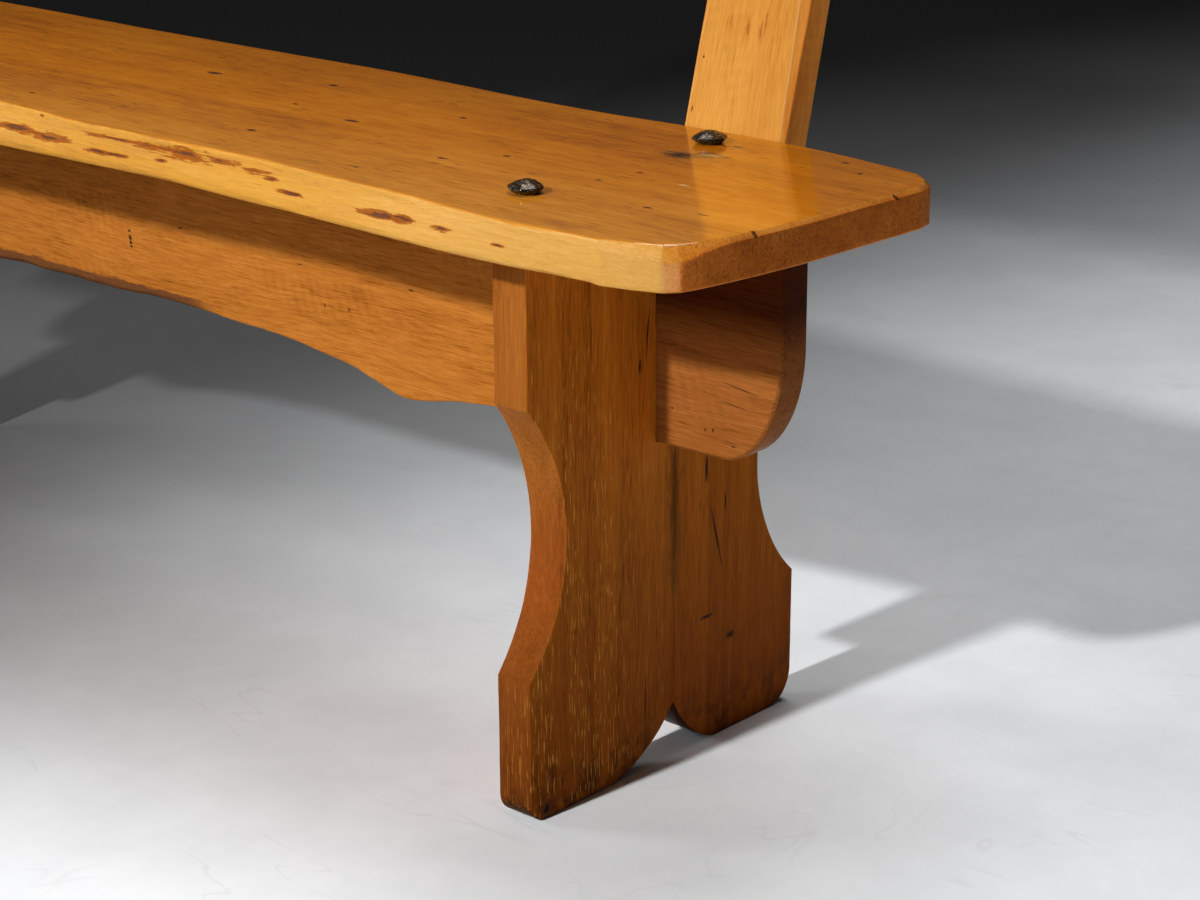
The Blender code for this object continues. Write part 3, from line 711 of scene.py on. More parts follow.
def bark_strip_and_nose_shade(coords, colour, matt, height):
    """Brown bark left along the foot's front arris. The nose is browner, and painted
    shade darkens it up high, under the seat's end.
    """
    x, _, z = xyz(coords["Object"])
    nose = step(calc("ABSOLUTE", x), 0.505, 0.52)
    colour = tint(nose, colour, (0.71, 0.67, 0.92))
    # Painted shade: the seat's end shades the nose's upper part
    colour = tint(times(nose, step(z, 0.325, 0.365)), colour, (0.22, 0.15, 0.13))
    tatter = times(noise(coords["Object"], (60, 60, 300), 4.0), 0.008)
    low = fade(plus(z, tatter), 0.269, 0.2705)
    bark = times(between(x, -0.34, -0.3, 0.02, 0.06), low)
    colour = blend(times(bark, 0.85), colour, (0.095, 0.037, 0.016))
    return colour, plus(matt, times(bark, 0.3)), height


stretcher_looks = {
    "Pale": (0.493, 0.18, 0.0299), "Middle": (0.396, 0.134, 0.0185),
    "Deep": (0.229, 0.066, 0.00704), "Ring": 0.0065, "Rings": 0.14, "Streaks": 0.24,
    "Fibres": 0.5, "Clouds": 0.24, "Curl": 0.2, "Pores": 0.5,
}
stretcher_marks = [stretcher_mark(*row) for row in (
    (-0.047, 0.3011, 0.0016, 0.0075, 0.15, 1.3), (0.016, 0.323, 0.003, 0.0006),
    (0.157, 0.317, 0.004, 0.0005), (0.184, 0.289, 0.0014, 0.0018),
    (0.211, 0.29, 0.0012, 0.0018), (0.279, 0.318, 0.004, 0.0008),
    (0.565, 0.269, 0.0013, 0.002), (0.572, 0.27, 0.001, 0.0018),
    (0.535, 0.279, 0.001, 0.0015), (0.59, 0.262, 0.003, 0.0007),
    (0.595, 0.305, 0.017, 0.0005, -0.12, 0.2), (0.59, 0.292, 0.014, 0.0004, -0.12, 0.2),
)]
stretcher_finish = varnished(
    "stretcher_finish", (0.1, 0.03, 0.13), LENGTHWISE, stretcher_looks, stretcher_marks,
    bark_strip_and_nose_shade, polish=0.25,
)
show("stretcher_visual", stretcher_mesh(), stretcher_finish, "stretcher_wood", "stretcher")


# Seat plank
# One thick pine plank. Its front is the tree's own rounded edge with pockets of bark left in
# it, and its corners and ends are sawn and chamfered. It lies on the legs and the stretcher.

SEAT_THICK = 0.029
SEAT_LENGTH = 1.39
SEAT_DEPTH = 0.2965
SEAT_FRONT = -0.0465
# Arrises of a plank's natural edges above, and of all its edges below
PLANK_ARRIS = 0.0042
PLANK_FOOT = 0.0019
# The waney front is rounder below, and worn back from the line drawn here
FRONT_ROUND = 0.0036
FRONT_WORN = 0.0008
# What lies nearer to the front line than this is the front
FRONT_DEPTH = 0.03
POST_X = 0.4932
POST_WIDTH = 0.0925
SEAT_FRONT_EDGE = (
    (-1.0, -0.002, 0.008), (-0.8, 0.001, 0.012), (-0.58, 0.006, 0.008),
    (-0.36, 0.002, 0.013), (-0.14, -0.003, 0.016), (0.03, -0.002, 0.016),
    (0.16, -0.0045, 0.007), (0.29, -0.008, 0.006), (0.43, -0.002, 0.012),
    (0.51, 0.0, 0.01), (0.65, 0.0055, 0.0105), (0.735, 0.0075, 0.0055),
    (0.79, 0.007, 0.003), (0.85, 0.003, 0.002), (0.9, 0.0025, 0.002), (1.0, 0.002, 0.002),
)
SEAT_BACK_EDGE = (
    (-1.0, -0.012, 0.0), (-0.88, -0.003, 0.0), (-0.74, 0.001, 0.0), (-0.51, 0.009, 0.002),
    (-0.2, 0.006, 0.002), (0.05, 0.005, 0.0), (0.22, 0.007, 0.001), (0.31, 0.003, 0.0),
    (0.46, -0.003, 0.0), (0.55, -0.003, 0.0), (0.65, 0.001, 0.0), (0.78, 0.0015, 0.0),
    (0.86, -0.003, 0.0), (0.93, -0.011, 0.0), (1.0, -0.016, 0.0),
)
# Each corner, edge first: back from the end, in from the edge's line, chamfer
SEAT_NEAR_CORNER = (
    (0.0705, -0.0015, 0.0055), (0.047, 0.004, 0.008), (0.028, 0.0105, 0.01),
    (0.0195, 0.02, 0.01), (0.0155, 0.0365, 0.006), (0.012, 0.0575, 0.0035),
    (0.008, 0.0865, 0.003), (0.004, 0.1285, 0.003),
)
SEAT_FAR_CORNER = (
    (0.046, 0.0125, 0.003), (0.024, 0.0165, 0.0035), (0.01, 0.0265, 0.004),
    (0.003, 0.036, 0.004), (0.0, 0.05, 0.003),
)
SEAT_LEFT_CORNER = (
    (0.06, 0.003, 0.004), (0.032, 0.009, 0.007), (0.014, 0.022, 0.008),
    (0.004, 0.048, 0.004), (0.0, 0.09, 0.003),
)
# Bark pockets in the front edge: place along, height, half length, half height, depth
SEAT_POCKETS = (
    (0.038, 0.4362, 0.026, 0.0022, 0.0016), (0.078, 0.4354, 0.022, 0.0024, 0.0018),
    (0.146, 0.4434, 0.03, 0.0012, 0.001), (0.186, 0.4434, 0.022, 0.0018, 0.0014),
    (0.222, 0.4432, 0.034, 0.0036, 0.0022), (0.262, 0.4438, 0.022, 0.0018, 0.001),
    (0.131, 0.4323, 0.014, 0.0014, 0.0012), (0.154, 0.4327, 0.013, 0.0011, 0.001),
    (0.201, 0.4356, 0.006, 0.001, 0.0008), (0.298, 0.4424, 0.016, 0.0014, 0.001),
    (0.316, 0.4402, 0.008, 0.0016, 0.001), (0.338, 0.4345, 0.016, 0.001, 0.0008),
    (0.434, 0.435, 0.02, 0.0018, 0.0012), (0.455, 0.4358, 0.011, 0.002, 0.0014),
    (0.492, 0.4362, 0.009, 0.0014, 0.0008), (0.545, 0.4345, 0.006, 0.0009, 0.0006),
    (0.059, 0.4475, 0.003, 0.0008, 0.0005),
)


def plank_edge(edge, half, left_reach, right_reach, count):
    """(x, out of line, lean) at even steps along a natural edge, between its two corners."""
    x = np.linspace(left_reach - half, half - right_reach, count)
    out = natural([(place, value) for place, value, _ in edge], x / half)
    lean = natural([(place, lean) for place, _, lean in edge], x / half)
    return list(zip(x, out, np.maximum(lean, 0.0)))


def plank_outline(length, depth, edges, corners, arris, count):
    """(x, y, lean, chamfer, natural) round a plank whose front line is y = 0."""
    half = length / 2
    reach = [corner[0][0] for corner in corners]
    front = plank_edge(edges[0], half, reach[0], reach[1], count)
    back = plank_edge(edges[1], half, reach[3], reach[2], count)
    points = [(x, -out, lean, arris, 1.0) for x, out, lean in front[1:-1]]
    points += [(half - run, inset, 0.0, c, 0.0) for run, inset, c in corners[1]]
    points += [(half - run, depth - inset, 0.0, c, 0.0) for run, inset, c in corners[2][::-1]]
    points += [(x, depth + out, lean, arris, 0.6) for x, out, lean in back[-2:0:-1]]
    points += [(run - half, depth - inset, 0.0, c, 0.0) for run, inset, c in corners[3]]
    points += [(run - half, inset, 0.0, c, 0.0) for run, inset, c in corners[0][::-1]]
    return points


def smoothed(values, rounds):
    for _ in range(rounds):
        values = (np.roll(values, 1, axis=0) + 2 * values + np.roll(values, -1, axis=0)) / 4
    return values


def plank_points(points, gap):
    """Even, dense points round a plank, with its leans and chamfers eased into each other."""
    points = np.array(dense(points, gap))
    return np.column_stack([smoothed(points[:, :2], 1), smoothed(points[:, 2:], 3)])


def seat_mesh():
    corners = (SEAT_LEFT_CORNER, SEAT_NEAR_CORNER, SEAT_FAR_CORNER, SEAT_FAR_CORNER)
    edges = (SEAT_FRONT_EDGE, SEAT_BACK_EDGE)
    points = plank_outline(SEAT_LENGTH, SEAT_DEPTH, edges, corners, PLANK_ARRIS, 420)
    points = plank_points(points, 0.002)
    outline, lean, chamfer, grown = points[:, :2], points[:, 2], points[:, 3], points[:, 4]

    def face(at, rise):
        x, z = at[:, 0], rise + LEG_HEIGHT
        on_front = grown * (at[:, 1] < FRONT_DEPTH)
        swell = waver(x, 2.0, 0.0007) + waver(x * 2.7 + 40 * rise, 7.0, 0.0003) - FRONT_WORN
        swell = swell * on_front
        for px, pz, half_length, half_height, depth in SEAT_POCKETS:
            far = ((x - px) / half_length) ** 2 + ((z - pz) / (half_height * 1.4)) ** 2
            swell = swell - 0.7 * depth * np.clip(1.1 - far, 0, 1) * on_front
        return swell

    def place(p):
        x, y, z = p[:, 0], p[:, 1] + SEAT_FRONT, p[:, 2] + LEG_HEIGHT
        by_post = np.abs(np.abs(x) - POST_X) < POST_WIDTH / 2 + 0.0005
        post_face = SEAT_BACK + (z - SEAT_HEIGHT) * math.tan(POST_RAKE) - SEAM_GAP
        y = np.where(by_post, np.minimum(y, post_face), y)
        return np.column_stack([x, y + BACK_SHIFT, z])

    low = PLANK_FOOT + np.where(outline[:, 1] < FRONT_DEPTH, FRONT_ROUND * grown, 0.0)
    return board_mesh("seat_plank", outline, SEAT_THICK, low, chamfer, grown, lean, place, face)


BARK_RED = (0.27, 0.066, 0.007)
BARK_GREY = (0.125, 0.044, 0.018)
SPECK = (0.035, 0.014, 0.006)
DUSTY_SPECK = (0.055, 0.028, 0.018)
RED_SPECK = (0.1, 0.024, 0.008)


def seat_top_mark(x, y, half_length, half_width, ragged=0.3, core=SPECK, rim=BROWN_STAIN):
    centre = (x, y + BACK_SHIFT, SEAT_HEIGHT)
    return (centre, (half_length, half_width, 0.004), LENGTHWISE, ragged, core, rim)


seat_marks = []
for x, z, half_length, half_height, depth in SEAT_POCKETS:
    centre = (x, SEAT_FRONT + BACK_SHIFT, z)
    reach = (half_length * 1.2, 0.03, half_height * 1.5)
    seat_marks.append((centre, reach, LENGTHWISE, 0.55, BARK_GREY, BARK_RED))
seat_marks += [seat_top_mark(*row) for row in (
    (0.516, 0.172, 0.026, 0.013, 0.3, (0.26, 0.085, 0.01), (0.36, 0.12, 0.012)),
    (0.511, 0.17, 0.013, 0.0085, 1.1, (0.02, 0.008, 0.004), (0.11, 0.036, 0.007)),
    (0.5275, 0.1825, 0.014, 0.008, 0.8, (0.44, 0.24, 0.08), (0.085, 0.03, 0.008)),
    (0.5253, 0.216, 0.0046, 0.0036, 0.8),
    (0.518, 0.213, 0.007, 0.0016, 0.6),
    (0.0427, 0.156, 0.009, 0.004, 0.3, DUSTY_SPECK),
    (-0.0051, 0.0122, 0.004, 0.002),
    (0.2239, 0.0303, 0.0052, 0.0028),
    (0.18, 0.115, 0.003, 0.002),
    (0.1503, 0.1832, 0.0048, 0.003),
    (0.2559, 0.1004, 0.008, 0.003, 0.3, DUSTY_SPECK),
    (0.311, 0.161, 0.004, 0.0024),
    (0.3665, -0.003, 0.003, 0.0014),
    (0.392, 0.055, 0.006, 0.0022, 0.3, BROWN_STAIN),
    (0.422, 0.089, 0.004, 0.0024, 0.3, BROWN_STAIN),
    (0.518, 0.0761, 0.003, 0.0018),
    (0.5247, 0.111, 0.0034, 0.0016, 0.3, RED_SPECK),
    (0.5927, 0.0384, 0.0048, 0.002, 0.3, RED_SPECK),
    (0.6323, 0.046, 0.0052, 0.0014, 0.3, BROWN_STAIN),
    (0.5705, 0.1021, 0.004, 0.0016, 0.9, (0.62, 0.38, 0.16), (0.62, 0.3, 0.05)),
    (0.613, 0.225, 0.004, 0.002),
    (0.64, 0.205, 0.0022, 0.0026),
    (0.685, 0.0333, 0.004, 0.0022, 0.6),
    (0.6951, 0.1724, 0.005, 0.0022, 0.6),
    (0.6871, 0.0195, 0.004, 0.0012, 0.6),
    (0.6864, 0.0025, 0.004, 0.0012, 0.6),
    (-0.21, 0.12, 0.004, 0.002),
    (-0.43, 0.06, 0.005, 0.002),
    (-0.36, 0.19, 0.014, 0.007, 0.7, (0.06, 0.024, 0.01), (0.2, 0.065, 0.013)),
)]


def sap_edge_and_painted_sheen(coords, colour, matt, height):
    """The waney front is paler, yellower sapwood than the top, with a painted highlight
    on the arrises round the top.

    A painted sheen makes the top paler and greyer towards the front, and deeper in colour
    behind. The sawn ends are a little paler and pinker.
    """
    facing = xyz(coords["Normal"])
    x, y, _ = xyz(coords["Object"])
    front = times(step(times(facing[1], -1.0), 0.35, 0.85), fade(y, -0.17, -0.12))
    colour = blend(times(front, 0.6), colour, (0.53, 0.168, 0.012))
    colour = tint(front, colour, (1.0, 1.46, 3.1))
    colour = tint(times(front, step(x, 0.3, 0.56)), colour, (1.02, 1.12, 1.75))
    height = times(height, calc("SUBTRACT", 1.0, times(front, 0.5)))
    # Painted sheen: the top paler and greyer towards the front, deeper in colour behind
    top = blend(fade(y, -0.2, -0.04), (0.99, 0.95, 0.52), (1.12, 1.3, 2.1))
    colour = tint(step(facing[2], 0.9, 0.99), colour, top)
    ends = step(calc("ABSOLUTE", facing[0]), 0.45, 0.9)
    colour = tint(ends, colour, (1.2, 1.02, 1.9))
    # Painted highlight along the rounded arrises and chamfers round the top
    worn = between(facing[2], 0.52, 0.78, 0.88, 0.99)
    return tint(worn, colour, (1.12, 1.3, 2.0)), matt, height


seat_looks = {
    "Pale": (0.62, 0.222, 0.019), "Middle": (0.515, 0.163, 0.008),
    "Deep": (0.31, 0.084, 0.0085), "Ring": 0.0045, "Rings": 0.16, "Streaks": 0.32,
    "Fibres": 0.5, "Clouds": 0.38, "Curl": 0.06, "Pores": 1.0,
}
seat_finish = varnished(
    "seat_finish", (0.2, -0.02, 1.2), LENGTHWISE, seat_looks, seat_marks, sap_edge_and_painted_sheen,
    sawn=(0.75, 0.92),
)
show("seat_plank_visual", seat_mesh(), seat_finish, "seat_wood", "seat_plank")


# Nails
# Wrought iron nails with heads hammered to a low uneven point, waxed black. Two go through
# the seat into each leg, one from behind each post into the seat, two through the back board
# into each post.

HEAD_RADIUS = 0.0129
HEAD_RISE = 0.0088
DENT_DEPTH = 0.0024
DENT_SIZE = 0.01
FACE_OUT = {
    "seat": (0.0, 0.0, 1.0),
    "back": (0.0, -math.cos(POST_RAKE), math.sin(POST_RAKE)),
    "post": (0.0, math.cos(POST_RAKE), -math.sin(POST_RAKE)),
}


def nail_blank():
    """A head of eight facets in three tiers over a square tapered shank, not yet hammered."""
    blank = bmesh.new()
    shank = [(0.0004, -0.048), (0.0022, -0.04), (0.0029, 0.0)]
    head = [
        (0.7, 0.0002), (0.8, 0.001), (0.99, 0.003), (0.97, 0.0045), (0.6, 0.0072),
        (0.18, HEAD_RISE),
    ]
    angles = [math.tau * k / 8 for k in range(8)]
    rings = []
    for radius, z in shank + [(HEAD_RADIUS * share, z) for share, z in head]:
        corners = [(radius * math.cos(a), radius * math.sin(a), z) for a in angles]
        rings.append([blank.verts.new(corner) for corner in corners])
    for lower, upper in zip(rings, rings[1:]):
        for k in range(8):
            n = (k + 1) % 8
            blank.faces.new((lower[k], lower[n], upper[n], upper[k]))
    blank.faces.new(reversed(rings[0]))
    blank.faces.new(rings[-1])
    mesh = bpy.data.meshes.new("nail_blank")
    blank.to_mesh(mesh)
    blank.free()
    return mesh


def beaten(tree, mesh, scale, detail, depth):
    """Pushes a mesh's points about by noise, up to half of depth each way."""
    where = output("GeometryNodeInputPosition", tree=tree)
    sockets = (("Vector", where), ("Scale", scale), ("Detail", detail))
    uneven = node("ShaderNodeTexNoise", sockets).outputs["Color"]
    centred = vector_calc("SUBTRACT", uneven, (0.5, 0.5, 0.5))
    push = output("ShaderNodeVectorMath", ((0, centred), (3, depth)), operation="SCALE")
    return output("GeometryNodeSetPosition", (("Geometry", mesh), ("Offset", push)))


def nail_tree(blank, iron):
    """Sets a nail at every point, turned to its face, and hammers each one differently."""
    tree = bpy.data.node_groups.new("hammered_nails", "GeometryNodeTree")
    new = tree.interface.new_socket
    new("Points", in_out="INPUT", socket_type="NodeSocketGeometry")
    dents = new("Dent depth", in_out="INPUT", socket_type="NodeSocketFloat")
    sizes = new("Dent size", in_out="INPUT", socket_type="NodeSocketFloat")
    new("Nails", in_out="OUTPUT", socket_type="NodeSocketGeometry")
    given = tree.nodes.new("NodeGroupInput").outputs
    named = ((0, "facing"),)
    facing = output("GeometryNodeInputNamedAttribute", named, tree, data_type="FLOAT_VECTOR")
    align = output("FunctionNodeAlignRotationToVector", ((2, facing),), axis="Z")
    draw = ((2, 0.0), (3, math.tau), ("Seed", 4))
    spin = node("FunctionNodeRandomValue", draw, tree, data_type="FLOAT").outputs[1]
    turn = output("FunctionNodeAxisAngleToRotation", ((1, spin),))
    both = output("FunctionNodeRotateRotation", ((0, align), (1, turn)), rotation_space="LOCAL")
    model = node("GeometryNodeObjectInfo", ((0, blank),), tree).outputs["Geometry"]
    sockets = (("Points", given[0]), ("Instance", model), ("Rotation", both))
    placed = output("GeometryNodeInstanceOnPoints", sockets)
    real = output("GeometryNodeRealizeInstances", ((0, placed),))
    dented = beaten(tree, real, calc("DIVIDE", 1.0, given[2]), 1.0, given[1])
    fine = output("GeometryNodeSubdivisionSurface", ((0, dented), (1, 3), (2, 0.72)))
    pecked = beaten(tree, fine, 420.0, 2.0, 0.0007)
    smooth = output("GeometryNodeSetShadeSmooth", ((0, pecked),))
    done = output("GeometryNodeSetMaterial", (("Geometry", smooth), ("Material", iron)))
    feed(tree.nodes.new("NodeGroupOutput"), ((0, done),))
    return tree, dents.identifier, sizes.identifier


def black_iron():
    material, shader, coords = new_finish("waxed_black_iron")
    patch = noise(coords["Object"], (260, 260, 260), 4.0, 0.65)
    bright = step(noise(coords["Object"], (700, 700, 700), 3.0, 0.6), 0.56, 0.66)
    colour = blend(step(patch, 0.48, 0.64), (0.022, 0.02, 0.019), (0.045, 0.027, 0.011))
    pits = (("Strength", 0.5), ("Distance", 0.0006), ("Height", patch))
    feed(shader, (
        ("Base Color", blend(times(bright, 0.75), colour, (0.4, 0.28, 0.12))),
        ("Roughness", step(patch, 0.3, 0.7, 0.18, 0.34)),
        ("Metallic", 0.6),
        ("Normal", output("ShaderNodeBump", pits)),
    ))
    return material


blank = new_object("nail_blank", nail_blank())
hammered, dent_input, size_input = nail_tree(blank, black_iron())


def head_seat(name, out):
    """Where a nail's head meets the wood: the CAD nail's far end, one head's rise below it."""
    low, high = (np.array(corner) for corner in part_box(name))
    middle = (low + high) / 2
    out = np.array(out)
    reach = ((high - low) * np.abs(out)).sum() / 2
    spread = HEAD_RADIUS * 0.93 * math.sqrt(max(0.0, 1 - out[2] ** 2)) * abs(out[2]) * 2
    return middle + out * (reach - spread / 2 - HEAD_RISE)


def nails(name, group, names):
    mesh = bpy.data.meshes.new(name)
    mesh.from_pydata([tuple(head_seat(n, FACE_OUT[group])) for n in names], [], [])
    facing = mesh.attributes.new("facing", "FLOAT_VECTOR", "POINT")
    for item in facing.data:
        item.vector = FACE_OUT[group]
    points = new_object(name + "_points", mesh)
    modifier = points.modifiers.new("nails", "NODES")
    modifier.node_group = hammered
    modifier[dent_input] = DENT_DEPTH
    modifier[size_input] = DENT_SIZE
    bpy.context.view_layer.update()
    evaluated = points.evaluated_get(bpy.context.evaluated_depsgraph_get())
    solid = bpy.data.meshes.new_from_object(evaluated)
    bpy.data.objects.remove(points, do_unlink=True)
    show(name, solid, None, "iron", *names)


for group, ends in (
    ("seat", ("seat_nail_front", "seat_nail_rear")),
    ("back", ("back_nail_lower", "back_nail_upper")),
    ("post", ("post_nail",)),
):
    names = [f"{side_name}_{end}" for side_name in ("right", "left") for end in ends]
    nails(group + "_nails_visual", group, names)
bpy.data.objects.remove(blank, do_unlink=True)


# Back posts
# A flat raked pine post at each end, forked over the leg's top and let into the seat's back
# edge, with a long tongue down the leg's inner face. Its front arrises are chamfered, wider
# towards the top.

POST_UP = 0.38
POST_DOWN = 0.155
POST_TONGUE = 0.3095
# The front chamfers' size at the seat, and how much wider they get a metre up
POST_CHAMFER = 0.0036
CHAMFER_GROWTH = 0.028
POST_END_ARRIS = 0.0025
POST_BACK_ARRIS = 0.0016


def on_rake(x, along, out):
    """Bench coordinates of a point `along` a post's length and `out` before its front face."""
    lean, rise = math.sin(POST_RAKE), math.cos(POST_RAKE)
    y = SEAT_BACK + along * lean - out * rise
    return np.column_stack([x, y + BACK_SHIFT, SEAT_HEIGHT + along * rise + out * lean])


def post_mesh(name, side):
    half = POST_WIDTH / 2
    shift = side * (LEG_X - POST_X)
    low, lap = (-POST_TONGUE, -POST_DOWN)[::side], POST_LAP + SEAM_GAP
    wide = LEG_THICK / 2 + SEAM_GAP
    outline = [
        (-half, low[0]), (shift - wide, low[0]), (shift - wide, lap), (shift + wide, lap),
        (shift + wide, low[1]), (half, low[1]), (half, POST_UP), (-half, POST_UP),
    ]
    points = walked(outline, OUTLINE_GAP)
    x, s = points[:, 0], points[:, 1]
    in_fork = (s < lap + 0.001) & (np.abs(x) < half - 0.001)
    on_side = np.abs(np.abs(x) - half) < 1e-4
    chamfer = np.clip(POST_CHAMFER + CHAMFER_GROWTH * s, 0.0018, 0.01)
    chamfer = chamfer * (1 + waver(s, side * 2.0, 0.08))
    front = np.where(in_fork, HIDDEN_ARRIS, np.where(on_side, chamfer, POST_END_ARRIS))
    back = np.where(in_fork, HIDDEN_ARRIS, POST_BACK_ARRIS)

    def place(p):
        return on_rake(p[:, 0] + side * POST_X, p[:, 1], p[:, 2] - POST_THICK)

    return board_mesh(name, points, POST_THICK, back, front, 0.25, 0.0, place)


def post_mark(x, along, wide, high, core, ragged=0.5):
    centre = tuple(on_rake(np.array([x]), np.array([along]), np.array([0.0]))[0])
    return (centre, (wide, 0.006, high), LENGTHWISE, ragged, core, (0.53, 0.21, 0.036))


POST_SCARS = [post_mark(*row) for row in (
    (0.504, 0.074, 0.0026, 0.013, (0.38, 0.128, 0.02), 0.8),
    (0.5075, 0.08, 0.0016, 0.011, (0.34, 0.112, 0.018), 0.9),
    (0.492, 0.074, 0.003, 0.013, (0.4, 0.135, 0.022), 0.8),
    (0.4765, 0.078, 0.0026, 0.009, (0.46, 0.168, 0.028), 0.8),
    (0.47, 0.112, 0.003, 0.01, (0.3, 0.1, 0.018)),
    (0.4565, 0.0505, 0.0013, 0.0015, SPECK),
    (0.4536, 0.0119, 0.001, 0.004, SPECK),
)]
RAKED = (POST_RAKE, math.pi / 2, 0.0)


def post_sides(coords, colour, matt, height):
    """The sides and chamfers are redder than the front, and a painted highlight
    lies along the chamfers' edges.
    """
    facing = calc("ABSOLUTE", xyz(coords["Normal"])[0])
    colour = tint(step(facing, 0.5, 0.9), colour, (1.62, 1.32, 1.24))
    # Painted highlight on the rounded edges beside the chamfers
    worn = between(facing, 0.06, 0.22, 0.45, 0.65)
    return tint(worn, colour, (1.12, 1.22, 2.0)), matt, height


post_looks = {
    "Pale": (0.645, 0.306, 0.0565), "Middle": (0.555, 0.242, 0.04),
    "Deep": (0.4, 0.14, 0.017), "Ring": 0.0048, "Rings": 0.12, "Streaks": 0.14,
    "Fibres": 0.36, "Clouds": 0.6, "Curl": 0.2, "Pores": 0.3,
}
for side_name, side in (("right", 1), ("left", -1)):
    name = side_name + "_post"
    heart = (0.1, -0.1, -0.6 * side)
    scars = POST_SCARS if side > 0 else ()
    post_finish = varnished(name + "_finish", heart, RAKED, post_looks, scars, post_sides)
    show(name + "_visual", post_mesh(name, side), post_finish, "post_wood", name)


# Back board
# One broad live-edge pine plank across the posts' front faces, of the same tree as the seat.
# The photograph stops below it, so its edges are free, in the seat's manner.

BACK_LOW = 0.178
BACK_LENGTH = 1.304
BACK_WIDTH = 0.212
BACK_THICK = 0.028
BACK_FOOT_EDGE = (
    (-1.0, -0.004, 0.002), (-0.62, 0.004, 0.004), (-0.22, -0.003, 0.002),
    (0.2, 0.002, 0.004), (0.6, -0.005, 0.003), (0.85, -0.001, 0.002), (1.0, -0.004, 0.002),
)
BACK_CREST_EDGE = (
    (-1.0, -0.005, 0.006), (-0.84, 0.001, 0.006), (-0.6, 0.008, 0.01),
    (-0.3, 0.014, 0.007), (0.0, 0.018, 0.011), (0.28, 0.013, 0.008), (0.55, 0.01, 0.011),
    (0.82, 0.001, 0.007), (1.0, -0.005, 0.006),
)
BACK_CORNER = (
    (0.05, 0.004, 0.003), (0.026, 0.01, 0.004), (0.009, 0.022, 0.004), (0.0, 0.046, 0.003),
)


def back_board_mesh():
    edges, corners = (BACK_FOOT_EDGE, BACK_CREST_EDGE), (BACK_CORNER,) * 4
    points = plank_outline(BACK_LENGTH, BACK_WIDTH, edges, corners, PLANK_ARRIS, 380)
    points = plank_points(points, 0.0026)
    outline, lean, chamfer, grown = points[:, :2], points[:, 2], points[:, 3], points[:, 4]

    def face(at, rise):
        x = at[:, 0]
        return (waver(x, 3.0, 0.0009) + waver(x * 2.7 + 40 * rise, 5.0, 0.0005)) * grown

    def place(p):
        return on_rake(p[:, 0], p[:, 1] + BACK_LOW, p[:, 2] + SEAM_GAP)

    return board_mesh(
        "back_board", outline, BACK_THICK, PLANK_FOOT, chamfer, grown, lean, place, face
    )


def back_mark(x, along, wide, high, core, rim, ragged):
    centre = tuple(on_rake(np.array([x]), np.array([along]), np.array([BACK_THICK]))[0])
    return (centre, (wide, 0.02, high), LENGTHWISE, ragged, core, rim)


back_looks = {
    "Pale": (0.458, 0.163, 0.0176), "Middle": (0.387, 0.123, 0.0106),
    "Deep": (0.255, 0.0704, 0.0044), "Ring": 0.008, "Rings": 0.26, "Streaks": 0.4,
    "Fibres": 0.42, "Clouds": 0.3, "Curl": 0.06, "Pores": 0.5,
}
back_marks = [back_mark(*row) for row in (
    (-0.18, 0.27, 0.015, 0.009, (0.055, 0.022, 0.01), (0.2, 0.065, 0.013), 0.6),
    (0.27, 0.31, 0.011, 0.008, (0.07, 0.026, 0.012), (0.22, 0.07, 0.014), 0.6),
    (0.05, 0.225, 0.006, 0.002, SPECK, BROWN_STAIN, 0.4),
    (-0.38, 0.36, 0.005, 0.002, SPECK, BROWN_STAIN, 0.4),
    (0.12, 0.398, 0.04, 0.004, BARK_GREY, BARK_RED, 0.6),
    (-0.31, 0.394, 0.028, 0.003, BARK_GREY, BARK_RED, 0.6),
)]
back_finish = varnished(
    "back_board_finish", (0.5, -0.75, 0.8), (POST_RAKE, 0.0, 0.0), back_looks, back_marks
)
show("back_board_visual", back_board_mesh(), back_finish, "seat_wood", "back_board")


# Studio
# A plain pale floor, a small soft lamp high in front of the bench for the shadows, wide ones
# above it and low to its left, and a weak even fill. The camera stands where the
# photographer did.

floor_mesh = bpy.data.meshes.new("floor")
floor_mesh.from_pydata([(-9, -9, 0), (9, -9, 0), (9, 9, 0), (-9, 9, 0)], [], [(0, 1, 2, 3)])
floor = new_object("floor", floor_mesh)
floor_paint, floor_shader, coords = new_finish("pale_floor")
place = coords["Object"]
cloudy = step(noise(place, (6, 6, 6), 8.0, 0.68), 0.3, 0.7)
paint = blend(cloudy, (0.83, 0.86, 0.88), (0.92, 0.95, 0.97))
for x, y, dark in ((1.3, 7.0, 0.16), (6.0, 2.2, 0.12)):
    line = calc("ABSOLUTE", calc("SUBTRACT", noise(place, (x, y, 1), 3.0, 0.6), 0.52))
    scratch = step(line, 0.0012, 0.0035, dark, 0.0)
    worn = step(noise(place, (y, x, 1), 3.0), 0.52, 0.62)
    paint = blend(times(scratch, worn), paint, (0.55, 0.55, 0.55))
# The paint darkens away from the camera, as the studio's light falls off
x, y, _ = xyz(place)
aside = times(x, -3.5)
near = calc("SUBTRACT", aside, times(y, 0.06))
paint = blend(step(near, -1.9, 1.9, 0.0, 0.9), paint, (0.05, 0.05, 0.05))
paint = blend(step(plus(aside, y), 2.8, 6.4), paint, (0.012, 0.012, 0.012))
feed(floor_shader, (("Base Color", paint), ("Roughness", 0.7), ("Specular IOR Level", 0.2)))
floor_mesh.materials.append(floor_paint)


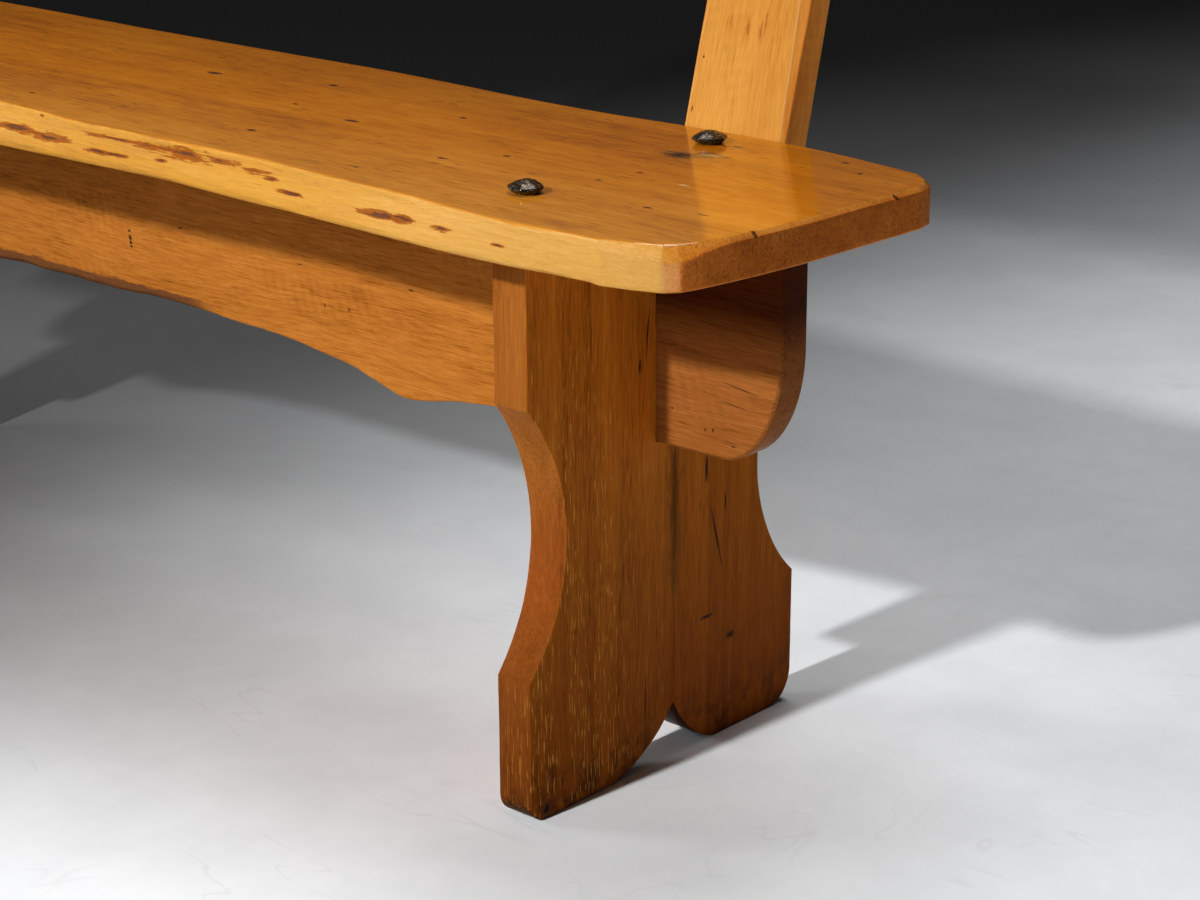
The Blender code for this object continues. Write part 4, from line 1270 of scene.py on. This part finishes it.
def lamp(name, place, target, size, power):
    """A round area lamp at place that faces target."""
    light = bpy.data.lights.new(name, "AREA")
    light.shape = "DISK"
    light.size = size
    light.energy = power
    made = new_object(name, light)
    made.location = place
    made.rotation_euler = (Vector(target) - Vector(place)).to_track_quat("-Z", "Y").to_euler()


lamp("key", (0.27, -2.93, 2.01), (0.4, 0.0, 0.3), 0.16, 108)
lamp("top", (0.2, 0.5, 3.1), (0.3, 0.0, 0.0), 1.6, 42)
lamp("side", (-2.6, -1.9, 1.3), (0.2, 0.0, 0.3), 1.2, 34)

world = bpy.data.worlds.new("studio")
bpy.context.scene.world = world
world.use_nodes = True
tree = world.node_tree
background = tree.nodes["Background"]
path = node("ShaderNodeLightPath", tree=tree).outputs
up = xyz(node("ShaderNodeTexCoord", tree=tree).outputs["Generated"])[2]
wall = blend(step(up, 0.17, 0.27), (0.006, 0.006, 0.006), (0.08, 0.075, 0.07))
seen = calc("MAXIMUM", path["Is Camera Ray"], path["Is Glossy Ray"])
feed(background, (("Color", blend(seen, (0.028, 0.028, 0.028), wall)),))

CAMERA_PLACE = (1.7494, -1.48855, 0.8892)
CAMERA_LENS = 85.452
CAMERA_YAW = math.radians(41.186)
CAMERA_DIP = math.radians(18.636)
CAMERA_ROLL = math.radians(-0.118)
ahead = Vector((
    -math.sin(CAMERA_YAW) * math.cos(CAMERA_DIP),
    math.cos(CAMERA_YAW) * math.cos(CAMERA_DIP),
    -math.sin(CAMERA_DIP),
))
level = Vector((math.cos(CAMERA_YAW), math.sin(CAMERA_YAW), 0.0))
above = level.cross(ahead)
right = math.cos(CAMERA_ROLL) * level + math.sin(CAMERA_ROLL) * above
above = math.cos(CAMERA_ROLL) * above - math.sin(CAMERA_ROLL) * level
turned = Matrix((right, above, -ahead)).transposed()
lens = bpy.data.cameras.new("camera")
lens.sensor_width = 36.0
lens.lens = CAMERA_LENS
camera = new_object("camera", lens)
camera.matrix_world = Matrix.Translation(CAMERA_PLACE) @ turned.to_4x4()
bpy.context.scene.camera = camera
bpy.context.scene.view_settings.view_transform = "Standard"
